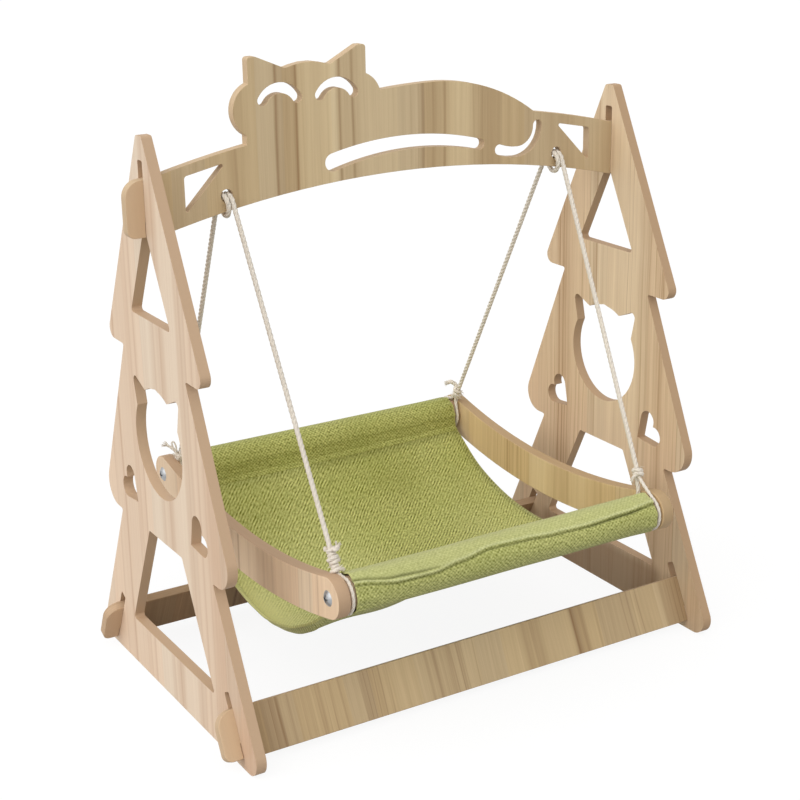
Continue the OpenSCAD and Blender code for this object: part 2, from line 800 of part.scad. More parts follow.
// Eye of rope round the dowel, drawn along the line to the knot: u towards the knot, v across it
function eye_path() =
    let (leg = (rope_d + leg_gap) / 2,
         start = knot_up - knot_len / 2 + leg_sink,
         reach = norm([start, leg]),
         touch = atan(leg / start) + acos(eye_turn_r / reach),
         around = [for (i = [0:eye_steps]) let (a = touch + (360 - 2 * touch) * i / eye_steps)
                   eye_turn_r * [cos(a), sin(a)]])
    concat([[start, leg]], around, [[start, -leg]]);

module knot(side, back) {
    turn = turn_path(side);
    leave = turn[back < 0 ? 0 : turn_steps];
    k = knot_point(side, back);
    aim = (leave - k) / norm(leave - k);
    low = [k.x, back * dowel_y, dowel_z];
    u = [0, k.y - low.y, k.z - low.z] / norm([k.y - low.y, k.z - low.z]);
    v = [0, -u.z, u.y];
    color(rope_color) union() {
        translate(k) rotate([0, acos(aim.z), atan2(aim.y, aim.x)]) rotate_extrude()
            polygon(rounded([[0, -knot_len / 2, 0], [knot_d / 2, -knot_len / 2, knot_len / 3],
                             [knot_d / 2, knot_len / 2, knot_len / 3], [0, knot_len / 2, 0]]));
        tube([for (p = eye_path()) low + p.x * u + p.y * v], rope_d, eye_sides);
    }
}

module front_left_knot() {
    knot(-1, -1);
}

module front_right_knot() {
    knot(1, -1);
}

module back_left_knot() {
    knot(-1, 1);
}

module back_right_knot() {
    knot(1, 1);
}

left_panel();
right_panel();
top_beam();
front_rail();
back_rail();
left_arm();
right_arm();
front_dowel();
back_dowel();
sling();
left_rope();
right_rope();
front_left_knot();
front_right_knot();
back_left_knot();
back_right_knot();
front_left_screw();
front_right_screw();
back_left_screw();
back_right_screw();
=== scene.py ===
"""Dresses the wooden cat swing: camera, light, wood, cloth sling, twisted ropes and tied knots."""
import json
import math
import random
from collections import namedtuple

import bpy
import numpy as np
from mathutils import Matrix, Vector

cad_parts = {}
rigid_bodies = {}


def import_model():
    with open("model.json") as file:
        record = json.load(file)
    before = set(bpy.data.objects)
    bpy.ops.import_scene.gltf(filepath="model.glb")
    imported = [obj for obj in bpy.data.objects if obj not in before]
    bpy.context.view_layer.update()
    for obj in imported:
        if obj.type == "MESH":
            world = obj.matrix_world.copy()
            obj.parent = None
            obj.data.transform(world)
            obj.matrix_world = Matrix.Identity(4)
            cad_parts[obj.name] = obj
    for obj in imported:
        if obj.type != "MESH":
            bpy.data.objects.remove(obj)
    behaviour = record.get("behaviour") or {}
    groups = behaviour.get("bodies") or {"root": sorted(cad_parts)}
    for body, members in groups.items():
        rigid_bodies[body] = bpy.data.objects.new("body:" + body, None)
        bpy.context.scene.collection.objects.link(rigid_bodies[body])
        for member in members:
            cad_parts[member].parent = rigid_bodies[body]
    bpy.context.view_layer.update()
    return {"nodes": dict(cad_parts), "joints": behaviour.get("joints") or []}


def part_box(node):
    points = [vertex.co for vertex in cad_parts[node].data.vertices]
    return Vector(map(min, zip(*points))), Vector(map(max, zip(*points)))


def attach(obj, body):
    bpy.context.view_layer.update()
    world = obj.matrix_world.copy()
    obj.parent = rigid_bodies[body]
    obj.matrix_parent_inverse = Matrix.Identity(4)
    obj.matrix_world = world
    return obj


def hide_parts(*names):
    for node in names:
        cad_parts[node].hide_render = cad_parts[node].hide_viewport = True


for leftover in list(bpy.data.objects):
    bpy.data.objects.remove(leftover)

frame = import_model()

scene = bpy.context.scene
scene.view_settings.view_transform = "Standard"

MM = 0.001
ALONG_X, ALONG_Y, UP = np.eye(3)


# Sizes taken from the frame
def measured(node):
    """A node's middle and half its size."""
    low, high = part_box(node)
    return np.array(low + high) / 2, np.array(high - low) / 2


(_, DOWEL_Y, DOWEL_Z), (_, _, DOWEL_R) = measured("back_dowel")
BEAM_HALF = measured("top_beam")[1][1]
SLING_HALF = measured("sling")[1][0]
PIVOT_Z = frame["joints"][0]["pos_m"][2]
RAIL_LEAN = math.radians(26.57)

# Rope, its turn round the beam's web and its eyes, as in the part's source
ROPE_D = 4.5 * MM
ROPE_X = 178 * MM
WEB_HALF = 5 * MM
WEB_GAP = 0.4 * MM
TURN_R = ROPE_D / 2 + WEB_GAP + math.hypot(BEAM_HALF, WEB_HALF)
TURN_PITCH = ROPE_D * 1.1
KNOT_X = SLING_HALF + 3.5 * MM
KNOT_RISE = 30 * MM
KNOT_HALF = 5.5 * MM
EYE_THIN = 0.72
EYE_GAP = 0.3 * MM
EYE_R = DOWEL_R + EYE_GAP + EYE_THIN * ROPE_D / 2

# Rope strands
STRAND_R = 1.55 * MM
STRAND_LAY = 0.85 * MM
STRAND_POINTS = 8
TWIST_PITCH = 15 * MM
ROPE_STEP = 1.4 * MM

# Cloth
CLOTH_T = 1.4 * MM
SLEEVE_R = 16.2 * MM
SEAM_REACH = SLEEVE_R + 4.5 * MM
FLANGE = 6 * MM
FLANGE_LIFT = 0.1
HEM = 8.6 * MM
LOW_LEFT = 66 * MM
LOW_RIGHT = 91 * MM


# Geometry helpers
CURVE_STEPS = 12
NEARLY_ALONG = 0.8


def unit(vector):
    return vector / np.linalg.norm(vector)


def lengths(line):
    steps = np.linalg.norm(np.diff(line, axis=0), axis=1)
    return np.concatenate([[0], np.cumsum(steps)])


def evenly(line, step):
    """The same line with points at even steps along it."""
    line = np.asarray(line, float)
    along = lengths(line)
    count = max(2, int(round(along[-1] / step)) + 1)
    places = np.linspace(0, along[-1], count)
    return np.stack([np.interp(places, along, axis) for axis in line.T], axis=1)


def curve_through(points, step):
    """A smooth line through the given points."""
    points = np.asarray(points, float)
    ends = np.vstack([2 * points[0] - points[1], points, 2 * points[-1] - points[-2]])
    line = []
    for a, b, c, d in zip(ends, ends[1:], ends[2:], ends[3:]):
        for t in np.linspace(0, 1, CURVE_STEPS, endpoint=False):
            line.append(0.5 * (2 * b + (c - a) * t + (2 * a - 5 * b + 4 * c - d) * t * t
                               + (3 * b - a - 3 * c + d) * t ** 3))
    line.append(points[-1])
    return evenly(line, step)


def carried_frames(line):
    """Two directions across a line at each point, carried along it without twist."""
    tangent = np.gradient(line, axis=0)
    tangent /= np.linalg.norm(tangent, axis=1)[:, None]
    start = ALONG_X if abs(tangent[0][0]) < NEARLY_ALONG else UP
    across = np.zeros_like(line)
    across[0] = unit(start - tangent[0] * np.dot(start, tangent[0]))
    for i in range(1, len(line)):
        across[i] = unit(across[i - 1] - tangent[i] * np.dot(across[i - 1], tangent[i]))
    return across, np.cross(tangent, across)


def sweep(line, radius, turns=None):
    """Points, faces and (round, along) places of a closed profile carried along a line.

    radius is per point of the line and place round it, and turns is how far the profile has turned.
    """
    across, beside = carried_frames(line)
    sides = radius.shape[1]
    around = np.linspace(0, math.tau, sides, endpoint=False)
    angle = around[None, :] + (0 if turns is None else turns[:, None])
    ring = across[:, None] * np.cos(angle)[..., None] + beside[:, None] * np.sin(angle)[..., None]
    points = (line[:, None] + ring * radius[..., None]).reshape(-1, 3)
    along = lengths(line)
    places = np.stack([np.tile(around / math.tau, len(line)), np.repeat(along, sides)], axis=1)
    rings = np.arange(len(points)).reshape(-1, sides)
    after = np.roll(rings, -1, axis=1)
    quads = np.dstack([rings[:-1], after[:-1], after[1:], rings[1:]]).reshape(-1, 4)
    return points, [*quads.tolist(), rings[0, ::-1].tolist(), rings[-1].tolist()], places


def joined(parts):
    """Several meshes as one."""
    points, faces, places = [], [], []
    count = 0
    for part_points, part_faces, part_places in parts:
        points.append(part_points)
        places.append(part_places)
        faces += [tuple(count + i for i in face) for face in part_faces]
        count += len(part_points)
    return np.vstack(points), faces, np.vstack(places)


def make_piece(name, shape, body, material):
    points, faces, places = shape
    mesh = bpy.data.meshes.new(name)
    mesh.from_pydata(points.tolist(), [], faces)
    corners = np.zeros(len(mesh.loops), np.int32)
    mesh.loops.foreach_get("vertex_index", corners)
    layer = mesh.uv_layers.new(name="places")
    layer.data.foreach_set("uv", places[corners].astype(np.float32).ravel())
    mesh.polygons.foreach_set("use_smooth", [True] * len(mesh.polygons))
    mesh.materials.append(material)
    mesh.update()
    piece = bpy.data.objects.new(name, mesh)
    scene.collection.objects.link(piece)
    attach(piece, body)
    return piece


# Shader helpers
def srgb(*channels):
    """A colour as it is seen, 0 to 255, in the linear numbers that shaders take."""
    seen = [channel / 255 for channel in channels]
    return tuple(c / 12.92 if c <= 0.04045 else ((c + 0.055) / 1.055) ** 2.4 for c in seen) + (1.0,)


WHITE = srgb(255, 255, 255)

# Noise over two coordinates, with its rate along each
Speckle = namedtuple("Speckle", "first second seed detail roughness", defaults=(0, 2, 0.5))


class Net:
    """Adds shader nodes to one tree. A value is a number or another node's output."""

    def __init__(self, tree):
        self.tree = tree

    def fill(self, node, inputs):
        """Links outputs to a node's inputs and sets numbers on them, by place or name."""
        for place, value in inputs.items():
            if isinstance(value, bpy.types.NodeSocket):
                self.tree.links.new(value, node.inputs[place])
            else:
                node.inputs[place].default_value = value

    def put(self, kind, inputs=(), **settings):
        node = self.tree.nodes.new("ShaderNode" + kind)
        for key, value in settings.items():
            setattr(node, key, value)
        self.fill(node, dict(inputs))
        return node

    def math(self, operation, first, second=0, third=0, clamp=False):
        node = self.put("Math", {0: first, 1: second, 2: third}, operation=operation, use_clamp=clamp)
        return node.outputs[0]

    def plus(self, first, second, clamp=False):
        return self.math("ADD", first, second, clamp=clamp)

    def times(self, first, second, clamp=False):
        return self.math("MULTIPLY", first, second, clamp=clamp)

    def scaled(self, value, size, shift, clamp=False):
        return self.math("MULTIPLY_ADD", value, size, shift, clamp)

    def centred(self, value, size):
        """A value from 0 to 1 as one of this size that lies evenly about 0."""
        return self.scaled(value, size, -size / 2)

    def fit(self, value, low, high, start=0, end=1, soft=False):
        """start up to low and end from high on, with an even or a soft step between them."""
        step = "SMOOTHSTEP" if soft else "LINEAR"
        inputs = {0: value, 1: low, 2: high, 3: start, 4: end}
        return self.put("MapRange", inputs, interpolation_type=step).outputs[0]

    def near(self, value, place, width, share=1):
        """A share at a place, falling to 0 a width away on either side."""
        off = self.math("ABSOLUTE", self.math("SUBTRACT", value, place))
        return self.fit(off, 0, width, share, 0, soft=True)

    def ripple(self, value, pitch, shift, shift_size):
        """A wave of this pitch, pushed along by a shift."""
        return self.math("SINE", self.scaled(value, math.tau / pitch, self.times(shift, shift_size)))

    def between(self, factor, first, second):
        return self.put("Mix", {0: factor, 2: first, 3: second}, data_type="FLOAT").outputs[0]

    def blend(self, factor, first, second, mode="MIX"):
        return self.put("Mix", {0: factor, 6: first, 7: second}, data_type="RGBA", blend_type=mode).outputs[2]

    def dot(self, vector, axis):
        return self.put("VectorMath", {0: vector, 1: tuple(axis)}, operation="DOT_PRODUCT").outputs["Value"]

    def vector(self, x, y, z=0):
        return self.put("CombineXYZ", {0: x, 1: y, 2: z}).outputs[0]

    def noise(self, vector, detail=2, roughness=0.5):
        inputs = {"Vector": vector, "Scale": 1.0, "Detail": detail, "Roughness": roughness}
        return self.put("TexNoise", inputs).outputs["Fac"]

    def speckle(self, kind, first, second):
        vector = self.vector(self.times(first, kind.first), self.times(second, kind.second), kind.seed)
        return self.noise(vector, kind.detail, kind.roughness)

    def ramp(self, factor, stops):
        """A ramp of grey tones at places from 0 to 1."""
        node = self.put("ValToRGB", {0: factor})
        elements = node.color_ramp.elements
        while len(elements) < len(stops):
            elements.new(0.5)
        for element, (place, tone) in zip(elements, stops):
            element.position = place
            element.color = (tone, tone, tone, 1.0)
        return node.outputs["Color"]

    def bump(self, height, strength, distance):
        inputs = {"Strength": strength, "Distance": distance, "Height": height}
        return self.put("Bump", inputs).outputs["Normal"]

    def attribute(self, name):
        return self.put("Attribute", attribute_name=name).outputs["Fac"]

    def places(self):
        """The two coordinates that make_piece keeps on a mesh."""
        layer = self.put("UVMap", uv_map="places").outputs[0]
        split = self.put("SeparateXYZ", {0: layer})
        return split.outputs[0], split.outputs[1]


def new_material(name):
    material = bpy.data.materials.new(name)
    material.use_nodes = True
    tree = material.node_tree
    return material, Net(tree), tree.nodes["Principled BSDF"]


# Wood: grain over the streaks and down them, and its share of the tone
SWAY = Speckle(9, 5, detail=1, roughness=0.6)
STREAK = Speckle(170, 2.5, seed=3, roughness=0.6)
FIBRE = Speckle(900, 14, seed=7, roughness=0.6)
RING_DRIFT = Speckle(26, 1.6, seed=11, roughness=0.6)
RING_GROUP = Speckle(30, 2.2, seed=15, detail=1, roughness=0.6)
SWAY_SIZE = 6 * MM
STREAK_TONE = 0.38
FIBRE_TONE = 0.24
STRIP_TONE = 0.16
STRIP_RATE = 34
LINE_TONE = 0.6

# Thin ring lines, which livelier boards show more
RING_PITCH = 6.5 * MM
RING_WANDER = 24
RING_CREST = 0.72
RING_TONE = 0.34
RING_QUIET = 0.22
GROUP_EDGE = (0.5, 0.6)

# The hooks outside the panels, and painted shade on a strip between a panel's feet
HOOK_FROM = 246 * MM
HOOK_BLEND = 3 * MM
HOOK_SHARE = 0.75
PAINTED_SHADE_HEIGHTS = (38 * MM, 56 * MM)
PAINTED_SHADE_SHARE = 0.6
PAINTED_SHADE_HALF = 108 * MM
PAINTED_SHADE_BLEND = 12 * MM

# Sawn edges: how far they turn from the board's face, and their layers
EDGE_TURN = (0.55, 0.9)
EDGE_RATES = (700, 40, 12)
EDGE_TONE = (0.5, -0.15)


def drawn_streaks(net, swayed, bands, lines, reach):
    """Tones of the broad bands and of the thin lines that were listed."""
    position = net.fit(swayed, -reach, reach)
    line_stops = []
    for place, half, tone in lines:
        line_stops += [(place - half, 0), (place, tone), (place + half, 0)]

    def ramp(stops):
        return net.ramp(position, [((place * MM + reach) / (2 * reach), tone) for place, tone in stops])

    return ramp(bands), ramp(line_stops)


def ring_lines(net, swayed, down, lively):
    """Groups of thin growth lines."""
    wave_line = net.ripple(swayed, RING_PITCH, net.speckle(RING_DRIFT, swayed, down), RING_WANDER)
    ring = net.fit(wave_line, RING_CREST, 1, 0, RING_TONE * lively - RING_QUIET)
    group = net.fit(net.speckle(RING_GROUP, swayed, down), *GROUP_EDGE)
    return net.times(ring, group)


def wood(name, colours, face, across, bands, lines, reach, blush=WHITE, tip=None, low=None, lively=1):
    """Board wood. face is the board's face direction, across the direction over its streaks.

    colours are its pale and dark grain and its sawn edges. bands are (place in mm, tone) and lines
    (place, half width, tone), with tone 1 the darkest. blush tints some of the strips that the board
    is glued up from, tip the hooks outside the panels, and low is the colour of painted shade on a
    strip between a panel's feet.
    lively scales the grain.
    """
    pale, dark, edge = [srgb(*colour) for colour in colours]
    material, net, shader = new_material(name)
    coordinates = net.put("TexCoord").outputs
    place = coordinates["Object"]
    over = net.dot(place, across)
    down = net.dot(place, np.cross(face, across))
    swayed = net.plus(over, net.centred(net.speckle(SWAY, over, down), SWAY_SIZE))
    streak = net.speckle(STREAK, swayed, down)
    fibre = net.speckle(FIBRE, swayed, down)
    cells = net.put("TexVoronoi", {"W": swayed, "Scale": STRIP_RATE}, voronoi_dimensions="1D")
    strips = net.put("SeparateColor", {0: cells.outputs["Color"]}).outputs

    broad, thin = drawn_streaks(net, swayed, bands, lines, reach)
    tone = net.plus(broad, net.centred(streak, STREAK_TONE * lively))
    tone = net.plus(tone, net.centred(fibre, FIBRE_TONE * lively))
    tone = net.plus(tone, net.centred(strips[0], STRIP_TONE))
    tone = net.plus(tone, ring_lines(net, swayed, down, lively))
    tone = net.plus(tone, net.times(thin, LINE_TONE), clamp=True)
    colour = net.blend(tone, pale, dark)
    colour = net.blend(strips[1], colour, net.blend(1, colour, blush, "MULTIPLY"))

    if tip:
        aside = net.math("ABSOLUTE", over)
        hook = net.fit(aside, HOOK_FROM, HOOK_FROM + HOOK_BLEND, 0, HOOK_SHARE)
        colour = net.blend(hook, colour, tip)
    # Painted shade low down between a panel's feet
    if low:
        aside = net.math("ABSOLUTE", over)
        inside = net.fit(aside, PAINTED_SHADE_HALF - PAINTED_SHADE_BLEND, PAINTED_SHADE_HALF, 1, 0)
        painted_shade = net.fit(net.dot(place, UP), *PAINTED_SHADE_HEIGHTS, PAINTED_SHADE_SHARE, 0, soft=True)
        colour = net.blend(net.times(painted_shade, inside), colour, low)

    facing = net.math("ABSOLUTE", net.dot(coordinates["Normal"], face))
    on_edge = net.fit(facing, *EDGE_TURN, 1, 0)
    depths = (net.dot(place, face), over, down)
    layers = [net.times(depth, rate) for depth, rate in zip(depths, EDGE_RATES)]
    edge_tone = net.scaled(net.noise(net.vector(*layers)), *EDGE_TONE, clamp=True)
    net.fill(shader, {
        "Base Color": net.blend(on_edge, colour, net.blend(edge_tone, edge, dark)),
        "Roughness": net.scaled(fibre, 0.2, 0.5),
        "Normal": net.bump(net.plus(fibre, streak), 0.2, 0.25 * MM),
        "Specular IOR Level": 0.3})
    return material


FRONT_RAIL_FACE = np.array([0.0, -math.cos(RAIL_LEAN), math.sin(RAIL_LEAN)])
BACK_RAIL_FACE = FRONT_RAIL_FACE * (1, -1, 1)

LEFT_PANEL_BANDS = (
    (-170, 0.74), (-105, 0.62), (-87, 0.32), (-83, 0.45), (-75, 0.3), (-72, 0.55), (-57, 0.5),
    (-53, 0.22), (-30, 0.25), (-23, 0.55), (-12, 0.5), (-8, 0.35), (1, 0.42), (4, 0.18), (38, 0.22),
    (41, 0.45), (47, 0.3), (58, 0.46), (62, 0.25), (88, 0.22), (92, 0.5), (97, 0.25), (170, 0.32))
LEFT_PANEL_LINES = (
    (-124, 1.6, 0.45), (-97, 1.4, 0.4), (-84, 2, 0.5), (-64, 2.5, 0.35), (-18, 2, 0.5),
    (-4, 2, 0.4), (41, 2, 0.4), (52, 2.5, 0.35), (92, 1.5, 0.5), (112, 1.6, 0.4))
RIGHT_PANEL_BANDS = (
    (-170, 0.4), (-100, 0.35), (-94, 0.55), (-86, 0.45), (-80, 0.35), (-70, 0.5), (-58, 0.45),
    (-54, 0.28), (-30, 0.25), (-5, 0.35), (12, 0.3), (16, 0.5), (20, 0.3), (50, 0.33), (62, 0.5),
    (80, 0.45), (84, 0.28), (170, 0.4))
RIGHT_PANEL_LINES = (
    (-91, 1.8, 0.85), (-82, 1.5, 0.6), (-69, 2, 0.5), (-61, 1.5, 0.6), (14, 1.2, 0.6),
    (18, 1.2, 0.7), (66, 1.2, 0.6), (70, 1.6, 1), (76.7, 1.6, 1))
BEAM_BANDS = (
    (-260, 0.5), (-250, 0.48), (-246, 0.35), (-178, 0.32), (-172, 0.5), (-164, 0.4), (-150, 0.3),
    (-130, 0.32), (-126, 0.54), (-109, 0.56), (-104, 0.28), (-76, 0.24), (-71, 0.1), (-68, 0.12),
    (-65, 0.46), (-46, 0.42), (-42, 0.28), (18, 0.3), (23, 0.55), (50, 0.5), (54, 0.28), (64, 0.08),
    (74, 0.12), (80, 0.28), (92, 0.5), (146, 0.46), (152, 0.35), (165, 0.46), (190, 0.46), (200, 0.36),
    (260, 0.45))
BEAM_LINES = (
    (-168, 1.5, 0.4), (-126.5, 1.3, 0.9), (-107, 1.3, 1), (-63.5, 1.6, 0.7), (-50, 1.5, 0.8),
    (24.5, 1.6, 0.6), (36, 2, 0.6), (48, 1.8, 0.5), (123, 2, 0.3), (135, 3, 0.3))
# The back rail's bands are the beam's, made darker as painted shade
BACK_RAIL_PAINTED_SHADE_BANDS = tuple((place, 0.4 + 0.4 * tone) for place, tone in BEAM_BANDS)
FRONT_RAIL_BANDS = (
    (-260, 0.4), (-250, 0.42), (-246, 0.55), (-215, 0.55), (-211, 0.32), (-150, 0.3), (-132, 0.34),
    (-128, 0.52), (-113, 0.46), (-108, 0.3), (-63, 0.28), (-58, 0.44), (-20, 0.36), (-16, 0.24),
    (46, 0.22), (51, 0.5), (60, 0.4), (69, 0.35), (73, 0.12), (106, 0.12), (110, 0.62), (122, 0.56),
    (126, 0.26), (136, 0.28), (140, 0.34), (174, 0.3), (180, 0.5), (185, 0.18), (218, 0.2),
    (224, 0.55), (260, 0.6))
FRONT_RAIL_LINES = (
    (-203, 1.5, 0.4), (-191, 2, 0.3), (-173.5, 1.5, 0.7), (-150.6, 1.4, 0.6), (-60, 1.4, 0.85),
    (-50, 1.4, 0.6), (-34, 2.2, 0.5), (-23, 2, 0.5), (109.5, 1.4, 0.6), (138.5, 1.5, 0.7))
LEFT_ARM_BANDS = (
    (-200, 0.3), (-160, 0.28), (-156, 0.4), (-150, 0.25), (-75, 0.25), (-69, 0.5), (-40, 0.55),
    (-35, 0.3), (-2, 0.3), (1, 0.5), (6, 0.35), (16, 0.45), (22, 0.3), (80, 0.35), (200, 0.3))
# The left arm's line at -69 mm is a painted shadow line
LEFT_ARM_LINES = (
    (-156, 1.2, 0.5), (-141, 1.4, 0.5), (-69, 1.6, 0.3), (-52, 2, 0.35), (1, 1.6, 0.9),
    (16, 1.4, 0.5), (96, 2, 0.4))
RIGHT_ARM_BANDS = (
    (-200, 0.35), (-100, 0.35), (-95, 0.5), (-70, 0.35), (-48, 0.38), (-42, 0.52), (-8, 0.4), (-4, 0.2),
    (24, 0.22), (28, 0.42), (68, 0.46), (72, 0.32), (200, 0.4))
RIGHT_ARM_LINES = (
    (-97, 2, 0.4), (-43, 2.5, 0.4), (26, 1.4, 0.4), (45.5, 1.8, 0.6), (55, 1.5, 0.6), (65, 1.8, 0.75))

PINK = srgb(255, 242, 233)
SAND = srgb(255, 248, 232)
HOOK = srgb(214, 185, 153)
PANEL = dict(face=ALONG_X, across=ALONG_Y, reach=200 * MM, blush=PINK)
CROSS = dict(across=ALONG_X, reach=280 * MM, tip=HOOK)
ARM = dict(face=ALONG_X, across=ALONG_Y, reach=210 * MM)
DOWEL = dict(
    colours=((222, 198, 166), (170, 134, 100), (206, 176, 144)), face=ALONG_Y, across=UP,
    bands=LEFT_ARM_BANDS, lines=LEFT_ARM_LINES, reach=210 * MM)
BOARDS = {
    "left_panel": dict(
        PANEL, colours=((234, 218, 196), (194, 162, 133), (194, 164, 133)),
        bands=LEFT_PANEL_BANDS, lines=LEFT_PANEL_LINES),
    # The right panel's low colour is painted shade between its feet
    "right_panel": dict(
        PANEL, colours=((234, 214, 182), (177, 146, 112), (182, 151, 118)),
        bands=RIGHT_PANEL_BANDS, lines=RIGHT_PANEL_LINES, low=srgb(146, 112, 82), lively=1.8),
    "top_beam": dict(
        CROSS, colours=((223, 203, 166), (150, 118, 82), (206, 180, 146)), face=ALONG_Y,
        bands=BEAM_BANDS, lines=BEAM_LINES, blush=SAND),
    "front_rail": dict(
        CROSS, colours=((209, 187, 149), (142, 112, 80), (204, 176, 142)),
        face=FRONT_RAIL_FACE, bands=FRONT_RAIL_BANDS, lines=FRONT_RAIL_LINES, blush=SAND, lively=1.4),
    # The back rail's darker colours are painted shade
    "back_rail": dict(
        CROSS, colours=((204, 172, 132), (116, 86, 54), (196, 166, 134)),
        face=BACK_RAIL_FACE, bands=BACK_RAIL_PAINTED_SHADE_BANDS, lines=BEAM_LINES, blush=PINK),
    "left_arm": dict(
        ARM, colours=((248, 228, 198), (178, 146, 116), (190, 159, 128)),
        bands=LEFT_ARM_BANDS, lines=LEFT_ARM_LINES, blush=PINK, lively=1.2),
    "right_arm": dict(
        ARM, colours=((227, 203, 162), (168, 135, 94), (184, 156, 118)),
        bands=RIGHT_ARM_BANDS, lines=RIGHT_ARM_LINES, blush=SAND, lively=1.4),
    "front_dowel": DOWEL,
    "back_dowel": DOWEL,
}

# Rounded edges
WELD_GAP = 0.01 * MM
FLAT_TURN = math.radians(1)
SHARP_TURN = math.radians(40)
BOARD_ROUND = 0.9 * MM
SCREW_ROUND = 0.3 * MM


def round_edges(node, width, segments):
    bevel = node.modifiers.new("round", "BEVEL")
    bevel.width = width
    bevel.segments = segments
    bevel.limit_method = "ANGLE"
    bevel.angle_limit = SHARP_TURN
    return bevel


def soften_board(node):
    """Rounds a board's sharp edges over without changing its mesh."""
    weld = node.modifiers.new("weld", "WELD")
    weld.merge_threshold = WELD_GAP
    flat = node.modifiers.new("flat", "DECIMATE")
    flat.decimate_type = "DISSOLVE"
    flat.angle_limit = FLAT_TURN
    round_edges(node, BOARD_ROUND, 3).harden_normals = True


def dress(node, material):
    node.data.materials.clear()
    node.data.materials.append(material)


def dress_boards():
    for name, looks in BOARDS.items():
        dress(frame["nodes"][name], wood(name + "_wood", **looks))
        soften_board(frame["nodes"][name])


# Zinc screws
ZINC_RATES = (900, 2600, 2600)


def zinc():
    material, net, shader = new_material("zinc")
    place = net.put("TexCoord").outputs["Object"]
    stretched = net.put("VectorMath", {0: place, 1: ZINC_RATES}, operation="MULTIPLY")
    grain = net.noise(stretched.outputs[0], 3)
    net.fill(shader, {
        "Base Color": net.blend(grain, srgb(128, 130, 132), srgb(198, 200, 202)),
        "Roughness": net.scaled(grain, 0.25, 0.28),
        "Normal": net.bump(grain, 0.15, 0.1 * MM),
        "Metallic": 1.0})
    return material


def dress_screws():
    material = zinc()
    for name, node in frame["nodes"].items():
        if name.endswith("_screw"):
            dress(node, material)
            round_edges(node, SCREW_ROUND, 2)


# Ropes
YARN_FIBRE = Speckle(34, 420, detail=3, roughness=0.65)
STAIN = Speckle(1, 30)
STAIN_PLACE = 2
STAIN_SHARE = (0.8, -0.3)


def cotton():
    material, net, shader = new_material("cotton_rope")
    around, along = net.places()
    fibre = net.speckle(YARN_FIBRE, around, along)
    stain = net.speckle(STAIN, STAIN_PLACE, along)
    colour = net.blend(fibre, srgb(206, 190, 168), srgb(250, 246, 238))
    colour = net.blend(net.scaled(stain, *STAIN_SHARE, clamp=True), colour, srgb(222, 210, 190))
    net.fill(shader, {
        "Base Color": colour,
        "Roughness": net.scaled(fibre, 0.15, 0.8),
        "Normal": net.bump(fibre, 0.6, 0.3 * MM),
        "Sheen Weight": 0.25,
        "Specular IOR Level": 0.2})
    return material


def strand_profile():
    """Radius round a rope of three strands, from one groove to the next."""
    place = np.linspace(-math.pi / 3, math.pi / 3, STRAND_POINTS, endpoint=False)
    radius = STRAND_LAY * np.cos(place) + np.sqrt(STRAND_R ** 2 - (STRAND_LAY * np.sin(place)) ** 2)
    return np.tile(radius, 3)


def twisted(line, thick=(1,)):
    """A rope of three strands along a line, with its thickness at even places from start to end."""
    line = evenly(line, ROPE_STEP)
    turns = math.tau * lengths(line) / TWIST_PITCH
    part = np.linspace(0, 1, len(line))
    size = np.interp(part, np.linspace(0, 1, len(thick)), thick)
    return sweep(line, size[:, None] * strand_profile()[None, :], turns)


def dowel_point(side, end):
    return np.array([side * KNOT_X, end * DOWEL_Y, DOWEL_Z])


def knot_point(side, end):
    low = dowel_point(side, end)
    high = np.array([side * ROPE_X, 0, PIVOT_Z])
    return low + KNOT_RISE * unit(high - low)


def leave_angle(side, end):
    """Where a strand leaves its turn round the web."""
    knot = knot_point(side, end)
    reach = knot[1:] - np.array([0, PIVOT_Z])
    return math.atan2(reach[1], reach[0]) + end * math.acos(TURN_R / np.linalg.norm(reach))


def turn_points(side, count=90):
    """The rope's turns round the beam's web, from the front strand to the back one."""
    first = leave_angle(side, -1) % math.tau
    last = leave_angle(side, 1) - math.tau
    shift = TURN_PITCH * (first - last) / math.tau
    part = np.linspace(0, 1, count)
    angle = first + (last - first) * part
    x = side * ROPE_X + shift * (0.5 - part)
    return np.stack([x, TURN_R * np.cos(angle), PIVOT_Z + TURN_R * np.sin(angle)], axis=1)


def rope_aim(side, end):
    """Direction of a strand from its knot up to the beam."""
    turn = turn_points(side)
    return unit(turn[0 if end < 0 else -1] - knot_point(side, end))


def rope_line(side):
    front, back = [knot_point(side, end) + KNOT_HALF * rope_aim(side, end) for end in (-1, 1)]
    return evenly(np.vstack([front, turn_points(side), back]), ROPE_STEP)


# Knots: an eye round the dowel and its opening in degrees, two legs and the wraps
EYE_OPEN = 52
EYE_STEPS = 30
LEG_OFF = 6 * MM
LEG_SLIDE = 0.4
LEG_FOOT = 0.62
WRAP_R = 3.5 * MM
WRAP_THIN = 0.88
WRAP_STEPS = 14
WRAP_UNEVEN = 0.07
WAIST_LEVEL = 0.4
STANDING_THIN = 0.9
STANDING_OVER = 2 * MM

# Loose yarns: those of a cut end and the hairs on a knot
FRAY_YARNS = 18
FRAY_R = 0.42 * MM
FRAY_LENGTHS = (0.7, 1.2)
FRAY_SPLAY = 0.32
FRAY_ROOT = 1.5 * MM
FRAY_FALL = 0.12
HAIRS = 40
HAIR_R = 0.2 * MM
HAIR_LENGTHS = (2.5 * MM, 5 * MM)
HAIR_LEAN = 0.8
HAIR_FALL = 0.3
YARN_STEP = 0.9 * MM
YARN_SIDES = 5
YARN_TIP = 0.4

# The plane of the loose ends, and how far in front of the knot it is in mm
ENDS_RIGHT = np.array([0.858, -0.513, 0])
ENDS_UP = np.array([0.165, 0.276, 0.947])
ENDS_FRONT = np.array([-0.486, -0.813, 0.32])
ENDS_OFF = 3

